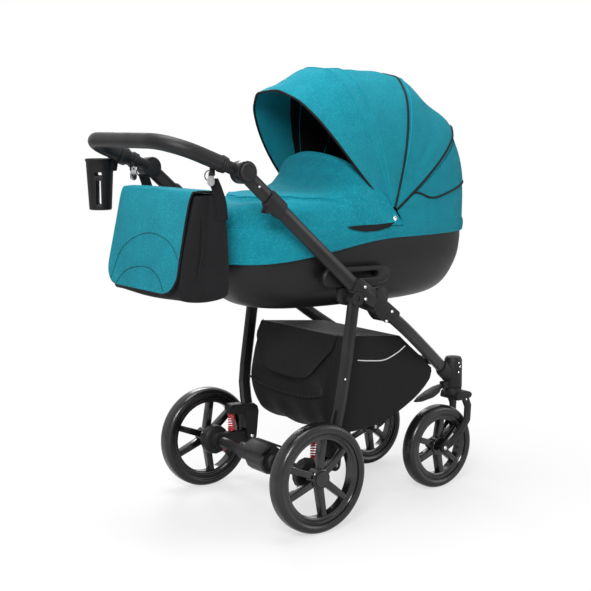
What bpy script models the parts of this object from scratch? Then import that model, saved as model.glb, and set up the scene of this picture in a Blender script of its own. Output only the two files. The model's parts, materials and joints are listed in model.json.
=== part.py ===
"""A pram: carrycot with folding hood and apron on a sprung folding chassis, with bag, cup holder and basket.

Lengths are metres, +X points the way the pram travels, +Y to its left and +Z up. All pieces are
modelled from the point on the ground below the rear axle, and one empty places them all.
"""
import math

import bmesh
import bpy
from mathutils import Vector

# The middle of the whole pram lies this far in front of the rear axle
AXLE_TO_MIDDLE = 0.1413

# Running fits and the gaps at which still pieces rest on each other
GAP = 0.0003
RUN = 0.0003

# Wheels
WHEELBASE = 0.541
REAR_TRACK = 0.550
FRONT_TRACK = 0.319
REAR_RADIUS = 0.150
FRONT_RADIUS = 0.126
REAR_TYRE_WIDTH = 0.050
FRONT_TYRE_WIDTH = 0.046
TYRE_HEIGHT = 0.026
AXLE_RADIUS = 0.006
HUB_RADIUS = 0.028
WHEEL_SEGMENTS = 28
ROUND = 14
SMALL_ROUND = 8
SPOKE_PAIRS = 3
SPOKE_START = math.radians(30)
SPOKE_ROOT = math.radians(26)
SPOKE_SPREAD = math.radians(22)
SPOKE_WIDTH = 0.015
SPOKE_ROOT_WIDTH = 0.017
SPOKE_THICK = 0.024
SPOKE_CROTCH = 0.033
BARREL_DEPTH = 0.016
HUB_HALF = 0.015

# Side frames: both stand in one upright plane each side of the cot
SIDE_Y = 0.233
TUBE_DEPTH = 0.040
FRONT_LEG_DEPTH = 0.036
REAR_LEG_DEPTH = 0.038
TUBE_THICK = 0.022
HOUSING_THICK = 0.036
KNUCKLE = Vector((-0.205, 0, 0.960))
ARM_FOOT = Vector((0.151, 0, 0.649))
FOLD_AXIS = Vector((0.240, 0, 0.618))
LEG_AXIS = Vector((0.155, 0, 0.613))
BLOCK_FOOT = Vector((0.290, 0, 0.550))
JOINT_ALONG = 0.085
FOLD_TURN = 160.0
PIN_RADIUS = 0.006
EAR_THICK = 0.0058
BOSS_RADIUS = 0.0205

# Rear legs and springing
SWING_AXIS = Vector((0.106, 0, 0.152))
FOOT_Y = REAR_TRACK / 2 - 0.074
FOOT_THICK = 0.037
SWING_THICK = 0.024
SPRING_X = 0.043
SPRING_RADIUS = 0.0105
SPRING_WIRE = 0.0018
SPRING_TURNS = 8
SPRING_TOP = 0.229
HUB_HOUSING_RADIUS = 0.043
HUB_HOUSING_FACE = REAR_TRACK / 2 - 0.032
RELEASE_RADIUS = 0.0068
RELEASE_FACE = FOOT_Y + 0.010
RELEASE_TRAVEL = 0.003
AXLE_TUBE_RADIUS = 0.0165
SLEEVE_RADIUS = 0.024
BRAKE_RADIUS = 0.040
BRAKE_FROM = -0.072
BRAKE_TO = 0.012

# Casters
CASTER_TRAIL = 0.062
SWIVEL_X = WHEELBASE + CASTER_TRAIL
HOUSING_RADIUS = 0.028
HOUSING_BOTTOM = 0.297
HOUSING_TOP = 0.392
STEM_RADIUS = 0.009
BLADE_THICK = 0.010
BLADE_OFFSET = 0.0315
CROSS_TUBE_RADIUS = 0.011

# Handle
HANDLE_Y = 0.2215
HANDLE_REACH = 0.222
HANDLE_SLOPE = math.radians(20.8)
HANDLE_CORNER = 0.095
GRIP_RADIUS = 0.020
GRIP_FROM = 0.058
KNUCKLE_RADIUS = 0.029
BUTTON_RADIUS = 0.0235

# Cup holder on the left arm of the handle
CUP_X = -0.335
CUP_Y = 0.2770
CUP_TOP = 0.985
CUP_HEIGHT = 0.141
CUP_TOP_RADIUS = 0.0385
CUP_FOOT_RADIUS = 0.031
CUP_WALL = 0.003
CUP_RING_ALONG = 0.096

# Carrycot
COT_CENTRE_X = 0.273
COT_HALF_LENGTH = 0.437
COT_HALF_WIDTH = 0.200
COT_BOTTOM = 0.576
SHELL_RINGS = ((0.262, 0.090, 0.576), (0.335, 0.130, 0.590), (0.382, 0.160, 0.622), (0.418, 0.180, 0.680))
SHELL_RIM = (0.433, 0.1915)
SHELL_WALL = 0.005
MATTRESS_TOP = COT_BOTTOM + 0.080
BAND_TOP = 0.802
BAND_WALL = 0.006
RING_POINTS = 28

# Oval plates on the cot's sides
PLATE_INNER = 0.1935
PLATE_OUTER = 0.2118
PLATE_HEIGHT = 0.668
PLATE_RADIUS = 0.028

# Hood, turning about one axis at the cot's sides
HOOD_AXIS = Vector((0.324, 0, 0.834))
HOOD_REACHES = ((5, 0.392), (33, 0.408), (67, 0.406), (108, 0.426), (128, 0.440))
HOOD_POWER = 2.5
HOOD_SKIN = 0.004
VISOR_RIM = 128.0
FRONT_BOW = 108.0
MID_BOW = 67.0
REAR_BOW = 33.0
TAIL_RIM = 5.0
BOW_THICK = 0.003
BOW_WIDTH = 0.010

# Bag and basket
BAG_HALF_WIDTH = 0.178
BAG_WALL = 0.004
HOOK_ALONG = 0.076
HOOK_DROP = 0.029
CLIP_THICK = 0.0035
STRAP_THICK = 0.0026
STRAP_OUT = 0.0130
CLIP_INNER = BAG_HALF_WIDTH + STRAP_OUT + STRAP_THICK / 2 + GAP
BASKET_HALF_WIDTH = 0.180
BASKET_WALL = 0.003
SLEEVE_HALF = 0.120

SIDES = (("left", 1), ("right", -1))
Y_AXIS = Vector((0, 1, 0))
Z_AXIS = Vector((0, 0, 1))


# Scene, materials and placing

def clear_scene():
    for item in list(bpy.data.objects):
        bpy.data.objects.remove(item, do_unlink=True)


def make_material(name, colour, roughness, metallic=0.0):
    item = bpy.data.materials.new(name)
    item.use_nodes = True
    shader = item.node_tree.nodes["Principled BSDF"]
    shader.inputs["Base Color"].default_value = (*colour, 1.0)
    shader.inputs["Roughness"].default_value = roughness
    shader.inputs["Metallic"].default_value = metallic
    item.diffuse_color = (*colour, 1.0)
    return item


def make_materials():
    return {
        "frame": make_material("frame", (0.030, 0.030, 0.032), 0.40, 0.3),
        "plastic": make_material("plastic", (0.022, 0.022, 0.024), 0.50),
        "shell": make_material("shell", (0.018, 0.018, 0.019), 0.45),
        "leather": make_material("leather", (0.020, 0.020, 0.021), 0.42),
        "tyre": make_material("tyre", (0.012, 0.012, 0.013), 0.30),
        "rim": make_material("rim", (0.016, 0.016, 0.017), 0.25),
        "teal": make_material("teal", (0.030, 0.360, 0.430), 0.85),
        "black_cloth": make_material("black_cloth", (0.014, 0.014, 0.015), 0.85),
        "red": make_material("red", (0.500, 0.015, 0.020), 0.35),
        "steel": make_material("steel", (0.550, 0.550, 0.560), 0.30, 1.0),
        "white_cloth": make_material("white_cloth", (0.75, 0.75, 0.74), 0.9),
    }


AXES = {}


def axis_point(name, position, parent=None):
    """An empty on a joint's axis, or one that only groups pieces, at a place in the pram's own frame."""
    item = bpy.data.objects.new(name, None)
    item.empty_display_size = 0.02
    bpy.context.collection.objects.link(item)
    AXES[name] = Vector(position)
    if parent:
        item.parent = bpy.data.objects[parent]
        item.location = AXES[name] - AXES[parent]
    else:
        item.location = AXES[name]
    return name


def add_solid(name, shape, material, parent, smooth=True):
    """Turns a bmesh into a named object that hangs on an empty; the points stay where they were drawn."""
    bmesh.ops.recalc_face_normals(shape, faces=shape.faces[:])
    mesh = bpy.data.meshes.new(name)
    bmesh.ops.translate(shape, vec=-AXES[parent], verts=shape.verts[:])
    shape.to_mesh(mesh)
    shape.free()
    if material:
        mesh.materials.append(material)
    if smooth:
        mesh.shade_smooth()
        mesh.set_sharp_from_angle(angle=math.radians(40))
    item = bpy.data.objects.new(name, mesh)
    bpy.context.collection.objects.link(item)
    item.parent = bpy.data.objects[parent]
    return item


def add_helper(name, shape, parent):
    """A hidden solid that other pieces are joined with or cut by."""
    item = add_solid(name, shape, None, parent, smooth=False)
    item.hide_render = True
    item.display_type = "WIRE"
    return item


def combine(item, operation, shapes, parent):
    for number, shape in enumerate(shapes):
        name = f"{item.name}_{operation.lower()}_{len(item.modifiers)}_{number}"
        step = item.modifiers.new(name, "BOOLEAN")
        step.operation = operation
        step.solver = "EXACT"
        step.object = add_helper(name, shape, parent)


def fuse(item, parent, *shapes):
    combine(item, "UNION", shapes, parent)


def cut(item, parent, *shapes):
    combine(item, "DIFFERENCE", shapes, parent)


def round_edges(item, width, segments=2, angle=40):
    step = item.modifiers.new("rounding", "BEVEL")
    step.width = width
    step.segments = segments
    step.limit_method = "ANGLE"
    step.angle_limit = math.radians(angle)


# Shapes, all drawn in the pram's own frame

def flat_section(outline, to_place, low, high):
    """An outline of (a, b) points raised from low to high; to_place turns (a, b, height) into a point."""
    shape = bmesh.new()
    ends = [[shape.verts.new(to_place(a, b, h)) for a, b in outline] for h in (low, high)]
    shape.faces.new(ends[0])
    shape.faces.new(ends[1][::-1])
    count = len(outline)
    for i in range(count):
        j = (i + 1) % count
        shape.faces.new((ends[0][i], ends[1][i], ends[1][j], ends[0][j]))
    return shape


def slab_y(outline, y_low, y_high):
    """A side-view outline of (x, z) points, as thick as y_low to y_high."""
    return flat_section(outline, lambda a, b, h: Vector((a, h, b)), y_low, y_high)


def block(low, high):
    """A box between two corners."""
    (x0, y0, z0), (x1, y1, z1) = low, high
    return slab_y([(x0, z0), (x1, z0), (x1, z1), (x0, z1)], min(y0, y1), max(y0, y1))


def turned(profile, centre, axis, segments, start=0.0, closed=True):
    """A profile of (radius, height) points turned about an axis; radius 0 makes a point on the axis."""
    shape = bmesh.new()
    axis = Vector(axis).normalized()
    first = axis.orthogonal().normalized() if abs(axis.y) < 0.9 else Vector((0, 0, -1))
    second = axis.cross(first)
    rings = []
    for radius, height in profile:
        middle = Vector(centre) + axis * height
        if radius < 1e-7:
            rings.append([shape.verts.new(middle)])
            continue
        ring = []
        for k in range(segments):
            turn = start + math.tau * k / segments
            ring.append(shape.verts.new(
                middle + (first * math.cos(turn) + second * math.sin(turn)) * radius))
        rings.append(ring)
    pairs = list(zip(rings, rings[1:]))
    if closed:
        pairs.append((rings[-1], rings[0]))
    for a, b in pairs:
        for k in range(segments):
            m = (k + 1) % segments
            if len(a) == 1 and len(b) == 1:
                continue
            if len(a) == 1:
                shape.faces.new((a[0], b[k], b[m]))
            elif len(b) == 1:
                shape.faces.new((a[k], b[0], a[m]))
            else:
                shape.faces.new((a[k], b[k], b[m], a[m]))
    return shape


def disc_y(centre, radius, y_low, y_high, segments=ROUND, bevel=0.0):
    """A short cylinder across the pram."""
    low, high = min(y_low, y_high), max(y_low, y_high)
    place = Vector((centre[0], 0, centre[2]))
    profile = [(0, low)]
    if bevel:
        profile += [(radius - bevel, low), (radius, low + bevel), (radius, high - bevel),
                    (radius - bevel, high)]
    else:
        profile += [(radius, low), (radius, high)]
    profile.append((0, high))
    return turned(profile, place, Y_AXIS, segments, closed=False)


def bore_y(centre, radius, y_low, y_high, segments=SMALL_ROUND):
    """The room for a turning pin: its flats stay clear of the pin in every position."""
    return disc_y(centre, (radius + RUN) / math.cos(math.pi / segments), y_low, y_high, segments)


def rod_z(x, y, radius, z_low, z_high, segments=ROUND):
    profile = [(0, z_low), (radius, z_low), (radius, z_high), (0, z_high)]
    return turned(profile, (x, y, 0), Z_AXIS, segments, closed=False)


def oval(depth, thick, points=10, power=2.4):
    """Points of a rounded tube section, depth along its first direction and thick along its second."""
    section = []
    for k in range(points):
        turn = math.tau * (k + 0.5) / points
        c, s = math.cos(turn), math.sin(turn)
        section.append((math.copysign(abs(c) ** (2 / power), c) * depth / 2,
                        math.copysign(abs(s) ** (2 / power), s) * thick / 2))
    return section


def swept(path, section, across=Y_AXIS, scales=None):
    """A closed solid that carries a section along a path; its second direction stays near `across`."""
    shape = bmesh.new()
    rings = []
    for i, point in enumerate(path):
        before = path[max(i - 1, 0)]
        after = path[min(i + 1, len(path) - 1)]
        along = (after - before).normalized()
        side = (across - along * across.dot(along)).normalized()
        lift = side.cross(along).normalized()
        size = scales[i] if scales else 1.0
        rings.append([shape.verts.new(point + lift * a * size + side * b * size) for a, b in section])
    shape.faces.new(rings[0])
    shape.faces.new(rings[-1][::-1])
    count = len(section)
    for a, b in zip(rings, rings[1:]):
        for k in range(count):
            m = (k + 1) % count
            shape.faces.new((a[k], b[k], b[m], a[m]))
    return shape


def smooth_path(knots, steps=6):
    """Points of a smooth curve through the knots."""
    points = []
    count = len(knots)
    for i in range(count - 1):
        p0 = knots[max(i - 1, 0)]
        p1, p2 = knots[i], knots[i + 1]
        p3 = knots[min(i + 2, count - 1)]
        for k in range(steps):
            t = k / steps
            points.append(0.5 * ((2 * p1) + (p2 - p0) * t + (2 * p0 - 5 * p1 + 4 * p2 - p3) * t ** 2
                                 + (3 * p1 - p0 - 3 * p2 + p3) * t ** 3))
    points.append(knots[-1].copy())
    return points


def link_outline(c1, r1, c2, r2, points=5):
    """Side-view outline of a link: two round ends joined by their common tangents."""
    d = Vector((c2[0] - c1[0], c2[1] - c1[1]))
    turn = math.atan2(d.y, d.x)
    open_angle = math.acos(max(-1.0, min(1.0, (r1 - r2) / d.length)))
    outline = []
    for k in range(points + 1):
        a = turn - open_angle + 2 * open_angle * k / points
        outline.append((c2[0] + r2 * math.cos(a), c2[1] + r2 * math.sin(a)))
    for k in range(points + 1):
        a = turn + open_angle + (math.tau - 2 * open_angle) * k / points
        outline.append((c1[0] + r1 * math.cos(a), c1[1] + r1 * math.sin(a)))
    return outline


def rounded_outline(corners, radius, points=1):
    """Side-view polygon whose corners are rounded."""
    outline = []
    count = len(corners)
    for i in range(count):
        here = Vector(corners[i])
        to_last = Vector(corners[i - 1]) - here
        to_next = Vector(corners[(i + 1) % count]) - here
        reach = min(radius, to_last.length * 0.45, to_next.length * 0.45)
        a = here + to_last.normalized() * reach
        b = here + to_next.normalized() * reach
        for k in range(points + 1):
            t = k / points
            outline.append(tuple(a.lerp(here, t).lerp(here.lerp(b, t), t)))
    return outline


def inset_outline(corners, distance):
    """The polygon drawn in by a wall's thickness; its points run anticlockwise."""
    outline = []
    count = len(corners)
    for i in range(count):
        here = Vector(corners[i])
        u = (here - Vector(corners[i - 1])).normalized()
        v = (Vector(corners[(i + 1) % count]) - here).normalized()
        n1, n2 = Vector((-u.y, u.x)), Vector((-v.y, v.x))
        bisector = (n1 + n2).normalized()
        outline.append(tuple(here + bisector * distance / max(0.3, bisector.dot(n1))))
    return outline


def grid_solid(outer, inner):
    """A skin between two grids of points with the same rows and columns, closed along its edges."""
    shape = bmesh.new()
    faces = []
    grids = []
    for grid in (outer, inner):
        grids.append([[shape.verts.new(p) for p in row] for row in grid])
    rows, columns = len(outer), len(outer[0])
    for grid in grids:
        for i in range(rows - 1):
            for j in range(columns - 1):
                faces.append((grid[i][j], grid[i + 1][j], grid[i + 1][j + 1], grid[i][j + 1]))
    a, b = grids
    for j in range(columns - 1):
        faces.append((a[0][j], a[0][j + 1], b[0][j + 1], b[0][j]))
        faces.append((a[-1][j], a[-1][j + 1], b[-1][j + 1], b[-1][j]))
    for i in range(rows - 1):
        faces.append((a[i][0], a[i + 1][0], b[i + 1][0], b[i][0]))
        faces.append((a[i][-1], a[i + 1][-1], b[i + 1][-1], b[i][-1]))
    for face in faces:
        shape.faces.new(face)
    return shape


def arch_row(base, direction, half_width, height, samples, power=HOOD_POWER, lowest=0.0):
    """Points of an arch across the pram, which stands on `base` and rises along `direction`."""
    start = math.asin(min(1.0, (lowest / height)) ** (power / 2)) if lowest > 0 else 0.0
    row = []
    for k in range(samples + 1):
        turn = start + (math.pi - 2 * start) * k / samples
        c, s = math.cos(turn), max(0.0, math.sin(turn))
        y = -math.copysign(abs(c) ** (2 / power), c) * half_width
        rise = s ** (2 / power) * height
        row.append(base + direction * rise + Y_AXIS * y)
    return row


def ring_points(half_length, half_width, height, power=2.7, centre=COT_CENTRE_X, count=RING_POINTS):
    """A plan-view ring round the cot; height is a number or a function of x."""
    ring = []
    for k in range(count):
        turn = math.tau * k / count
        c, s = math.cos(turn), math.sin(turn)
        x = centre + math.copysign(abs(c) ** (2 / power), c) * half_length
        y = math.copysign(abs(s) ** (2 / power), s) * half_width
        z = height(x) if callable(height) else height
        ring.append(Vector((x, y, z)))
    return ring


def stacked_rings(rings, closed):
    """Joins plan-view rings one after the other; closed rings form a wall, others get two floors."""
    shape = bmesh.new()
    rows = [[shape.verts.new(p) for p in ring] for ring in rings]
    pairs = list(zip(rows, rows[1:]))
    if closed:
        pairs.append((rows[-1], rows[0]))
    else:
        shape.faces.new(rows[0])
        shape.faces.new(rows[-1][::-1])
    count = len(rows[0])
    for a, b in pairs:
        for k in range(count):
            m = (k + 1) % count
            shape.faces.new((a[k], b[k], b[m], a[m]))
    return shape


# Wheels

def tyre_profile(radius, width):
    seat = radius - TYRE_HEIGHT
    half = width / 2
    side = [(seat, half * 0.80), (radius - 0.011, half), (radius, half * 0.48)]
    return side + [(r, -h) for r, h in reversed(side)]


def spider_outline(centre, barrel_radius):
    """Pairs of bars that spread from the hub to the barrel, as one outline round the hub."""
    outline = []

    def place(radius, turn):
        outline.append((centre.x + radius * math.sin(turn), centre.z - radius * math.cos(turn)))

    at_hub = SPOKE_ROOT_WIDTH / 2 / HUB_RADIUS
    at_barrel = SPOKE_WIDTH / 2 / barrel_radius
    for pair in range(SPOKE_PAIRS):
        middle = SPOKE_START + math.tau * pair / SPOKE_PAIRS
        place(HUB_RADIUS - 0.001, middle - SPOKE_ROOT - at_hub)
        place(barrel_radius, middle - SPOKE_SPREAD - at_barrel)
        place(barrel_radius, middle - SPOKE_SPREAD + at_barrel)
        place(SPOKE_CROTCH, middle - SPOKE_ROOT + at_hub)
        place(SPOKE_CROTCH, middle + SPOKE_ROOT - at_hub)
        place(barrel_radius, middle + SPOKE_SPREAD - at_barrel)
        place(barrel_radius, middle + SPOKE_SPREAD + at_barrel)
        place(HUB_RADIUS - 0.001, middle + SPOKE_ROOT + at_hub)
    return outline


def add_rim(name, centre, radius, width, spin, start, paint):
    """Barrel, hub and three pairs of bars between them."""
    seat = radius - TYRE_HEIGHT - GAP
    half = width / 2
    barrel = [(seat - BARREL_DEPTH, half * 0.53), (seat, half * 0.78), (seat, -half * 0.78),
              (seat - BARREL_DEPTH, -half * 0.53)]
    rim = add_solid(name, turned(barrel, centre, Y_AXIS, WHEEL_SEGMENTS, start), paint["rim"], spin)
    spider = slab_y(spider_outline(centre, seat - BARREL_DEPTH + 0.003),
                    centre.y - SPOKE_THICK / 2, centre.y + SPOKE_THICK / 2)
    fuse(rim, spin, spider, disc_y(centre, HUB_RADIUS, centre.y - HUB_HALF, centre.y + HUB_HALF))
    cut(rim, spin, bore_y(centre, AXLE_RADIUS, centre.y - width, centre.y + width))
    return rim


def add_wheel(prefix, side, name, x, track, radius, width, parent, paint):
    """Rim, tyre and hub cap of one wheel; a flat of the tyre lies on the ground."""
    rest_height = radius * math.cos(math.pi / WHEEL_SEGMENTS)
    centre = Vector((x, side * track / 2, rest_height))
    spin = axis_point(f"{prefix}_wheel_{name}_axis", centre, parent)
    start = math.pi / WHEEL_SEGMENTS
    tyre = turned(tyre_profile(radius, width), centre, Y_AXIS, WHEEL_SEGMENTS, start)
    add_solid(f"{prefix}_tyre_{name}", tyre, paint["tyre"], spin)
    rim = add_rim(f"{prefix}_rim_{name}", centre, radius, width, spin, start, paint)
    if prefix == "rear":
        fuse(rim, spin, hub_cap(side, centre))
    return spin


def hub_cap(side, centre):
    """The round cap pressed over the outside of a rear hub."""
    profile = [(0, 0.0152), (0.0120, 0.0152), (0.0240, 0.0140), (0.0255, 0.0175), (0.0225, 0.0205), (0, 0.0205)]
    profile = [(r, side * h) for r, h in profile]
    return turned(profile, centre, Y_AXIS, ROUND, closed=False)


# Chassis

def arm_direction():
    return (ARM_FOOT - KNUCKLE).normalized()


def arm_place(along, lift=0.0, y=0.0):
    """A point along the push arm from its knuckle, lifted square to it in side view."""
    d = arm_direction()
    up = Vector((-d.z, 0, d.x))
    return KNUCKLE + d * along + up * lift + Y_AXIS * y


def block_direction():
    return (BLOCK_FOOT - ARM_FOOT).normalized()


def block_place(along, lift=0.0):
    """A side-view point in the fold housing, measured from the middle of its upper end."""
    d = block_direction()
    point = ARM_FOOT + d * along + Vector((-d.z, 0, d.x)) * lift
    return (point.x, point.z)


def swung(point, centre, degrees):
    """A side-view point turned about an axis across the pram, the way the arms fold."""
    turn = math.radians(degrees)
    x, z = point[0] - centre.x, point[1] - centre.z
    return (centre.x + x * math.cos(turn) + z * math.sin(turn), centre.z + z * math.cos(turn) - x * math.sin(turn))


def front_leg_path(side):
    knots = [Vector((0.262, side * SIDE_Y, 0.571)), Vector((0.320, side * (SIDE_Y - 0.002), 0.528)),
             Vector((0.380, side * 0.221, 0.484)), Vector((0.520, side * 0.178, 0.384)),
             Vector((SWIVEL_X - 0.020, side * FRONT_TRACK / 2, 0.336))]
    return smooth_path(knots, 2)


def add_front_leg(name, side, paint):
    leg = swept(front_leg_path(side), oval(FRONT_LEG_DEPTH, TUBE_THICK))
    add_solid(f"front_leg_{name}", leg, paint["frame"], "front_frame")


def leg_clearance(path, depth):
    """The room that a leg's tube takes in a socket, a little longer than the tube at both ends."""
    first = path[0] + (path[0] - path[1]).normalized() * GAP
    last = path[-1] + (path[-1] - path[-2]).normalized() * GAP
    return swept([first] + path[1:-1] + [last], oval(depth + 2 * GAP, TUBE_THICK + 2 * GAP))


def cot_post(side):
    """The adapter on the inside of the fold housing that the cot's plate stands on."""
    top = PLATE_HEIGHT - PLATE_RADIUS - GAP
    outline = [(0.128, 0.598), (0.146, 0.590), (0.166, 0.598), (0.164, top), (0.122, top)]
    low, high = sorted((side * (PLATE_INNER + 0.0015), side * (SIDE_Y - HOUSING_THICK / 2 - GAP)))
    return slab_y(rounded_outline(outline, 0.005), low, high)


def add_fold_block(name, side, paint):
    """The front leg's half of the fold housing, with the pins that the arm and the rear leg turn on."""
    inner, outer = SIDE_Y - HOUSING_THICK / 2, SIDE_Y + HOUSING_THICK / 2
    low, high = sorted((side * inner, side * outer))
    outline = [block_place(JOINT_ALONG + GAP, 0.008), block_place(JOINT_ALONG + GAP, -0.021),
               block_place(0.118, -0.033), block_place(0.138, -0.034), block_place(0.148, -0.021),
               block_place(0.178, -0.020), block_place(0.180, 0.019), block_place(0.118, 0.021)]
    body = add_solid(f"fold_block_{name}", slab_y(rounded_outline(outline, 0.005), low, high),
                     paint["plastic"], "front_frame")
    cheek = link_outline((FOLD_AXIS.x, FOLD_AXIS.z), 0.021, block_place(0.112, 0.006), 0.014)
    lug = side * (SIDE_Y - 0.010), side * (SIDE_Y + 0.010)
    ear = link_outline((LEG_AXIS.x, LEG_AXIS.z), 0.0165, block_place(0.120, -0.004), 0.016)
    ear_from, ear_to = side * (inner - 0.004), side * (inner + EAR_THICK)
    fuse(body, "front_frame", slab_y(cheek, low, high), slab_y(ear, min(ear_from, ear_to), max(ear_from, ear_to)))
    room = disc_y(FOLD_AXIS, 0.0225, lug[0] - side * GAP, lug[1] + side * GAP)
    tail = slab_y(link_outline((FOLD_AXIS.x, FOLD_AXIS.z), 0.0222, block_place(0.055, 0.002), 0.0190),
                  SIDE_Y * side - 0.010 - GAP, SIDE_Y * side + 0.010 + GAP)
    folded = slab_y(link_outline((FOLD_AXIS.x, FOLD_AXIS.z), 0.0225, swung(block_place(0.055, 0.002), FOLD_AXIS, FOLD_TURN),
                                 0.0195, 1), SIDE_Y * side - 0.010 - GAP, SIDE_Y * side + 0.010 + GAP)
    cut(body, "front_frame", room, tail, folded, leg_clearance(front_leg_path(side), FRONT_LEG_DEPTH))
    pins = [disc_y(FOLD_AXIS, PIN_RADIUS, side * (inner + 0.001), side * (outer - 0.001), SMALL_ROUND),
            disc_y(LEG_AXIS, PIN_RADIUS, side * (inner + 0.001), side * (outer - 0.002), SMALL_ROUND)]
    fuse(body, "front_frame", *pins, cot_post(side))


def add_arm(name, side, paint):
    """Push arm: an oval tube from the knuckle to its half of the fold housing."""
    inner, outer = SIDE_Y - HOUSING_THICK / 2, SIDE_Y + HOUSING_THICK / 2
    low, high = sorted((side * inner, side * outer))
    reach = (ARM_FOOT - KNUCKLE).length
    path = [arm_place(0.010, 0, side * SIDE_Y), arm_place(reach * 0.5, 0, side * SIDE_Y),
            arm_place(reach + 0.006, 0, side * SIDE_Y)]
    arm = add_solid(f"push_arm_{name}", swept(path, oval(TUBE_DEPTH, TUBE_THICK)), paint["frame"], "push_arms")
    half = [KNUCKLE_RADIUS, side * (HANDLE_Y + 0.0103), side * (SIDE_Y + 0.019)]
    fuse(arm, "push_arms", disc_y(KNUCKLE, half[0], half[1], half[2], 18))
    cut(arm, "push_arms", disc_y(KNUCKLE, KNUCKLE_RADIUS + 0.002, side * (SIDE_Y - 0.03),
                                 side * (HANDLE_Y + 0.0103)),
        disc_y(KNUCKLE, BUTTON_RADIUS + RUN, side * (SIDE_Y + 0.012), side * (SIDE_Y + 0.03)))
    outline = [block_place(-0.004, 0.024), block_place(-0.004, -0.022), block_place(0.012, -0.026),
               block_place(JOINT_ALONG - GAP, -0.021), block_place(JOINT_ALONG - GAP, 0.022),
               block_place(0.060, 0.024)]
    lug = link_outline((FOLD_AXIS.x, FOLD_AXIS.z), 0.0215, block_place(0.055, 0.002), 0.018)
    cheek_rooms = [disc_y(FOLD_AXIS, 0.0220, side * (inner - 0.01), side * (SIDE_Y - 0.010)),
                   disc_y(FOLD_AXIS, 0.0220, side * (SIDE_Y + 0.010), side * (outer + 0.01))]
    cheek = link_outline((FOLD_AXIS.x, FOLD_AXIS.z), 0.0222, block_place(0.112, 0.006), 0.0152)
    for y in (side * (inner - 0.01), side * (outer + 0.01)):
        edge = side * (SIDE_Y - 0.010) if abs(y) < SIDE_Y else side * (SIDE_Y + 0.010)
        cheek_rooms.append(slab_y(cheek, min(y, edge), max(y, edge)))
    fuse(arm, "push_arms", slab_y(rounded_outline(outline, 0.004), low, high))
    cut(arm, "push_arms", *cheek_rooms)
    fuse(arm, "push_arms", slab_y(lug, side * SIDE_Y - 0.010, side * SIDE_Y + 0.010))
    boss_end = swung((LEG_AXIS.x, LEG_AXIS.z), FOLD_AXIS, -25)
    boss_room = slab_y(link_outline((LEG_AXIS.x, LEG_AXIS.z), BOSS_RADIUS + 0.0012, boss_end, BOSS_RADIUS + 0.0012, 7),
                       min(side * (inner - 0.01), side * (outer + 0.01)),
                       max(side * (inner - 0.01), side * (outer + 0.01)))
    ear = link_outline((LEG_AXIS.x, LEG_AXIS.z), 0.0175, block_place(0.120, -0.004), 0.017)
    ear_low, ear_high = sorted((side * (inner - 0.01), side * (inner + EAR_THICK + GAP)))
    bore = bore_y(FOLD_AXIS, PIN_RADIUS, side * (inner - 0.01), side * (outer + 0.01))
    cut(arm, "push_arms", boss_room, slab_y(ear, ear_low, ear_high), bore)


def add_fold_trigger(name, side, paint):
    """The collar that slides up the arm to release the fold, with a finger lip below it."""
    slide = axis_point(f"fold_trigger_{name}_axis", arm_place(0.125, 0, side * SIDE_Y), "push_arms")
    path = [arm_place(0.098, 0, side * SIDE_Y), arm_place(0.104, 0, side * SIDE_Y),
            arm_place(0.150, 0, side * SIDE_Y), arm_place(0.158, 0, side * SIDE_Y)]
    collar = add_solid(f"fold_trigger_{name}",
                       swept(path, oval(TUBE_DEPTH + 0.010, TUBE_THICK + 0.010), scales=[0.94, 1, 1, 0.92]),
                       paint["plastic"], slide)
    lip = [arm_place(0.106, -0.018), arm_place(0.112, -0.037), arm_place(0.118, -0.038), arm_place(0.134, -0.020)]
    lip = slab_y(rounded_outline([(p.x, p.z) for p in lip], 0.004),
                 side * SIDE_Y - 0.010, side * SIDE_Y + 0.010)
    fuse(collar, slide, lip)
    bore = [arm_place(0.080, 0, side * SIDE_Y), arm_place(0.180, 0, side * SIDE_Y)]
    cut(collar, slide, swept(bore, oval(TUBE_DEPTH + 2 * RUN, TUBE_THICK + 2 * RUN)))


def rear_leg_path(side):
    knots = [Vector((LEG_AXIS.x, side * SIDE_Y, LEG_AXIS.z)), Vector((0.128, side * SIDE_Y, 0.430)),
             Vector((0.110, side * (FOOT_Y + 0.027), 0.310)), Vector((SWING_AXIS.x, side * (FOOT_Y + 0.005), 0.230)),
             Vector((SWING_AXIS.x, side * FOOT_Y, 0.190))]
    return smooth_path(knots, 2)


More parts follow.
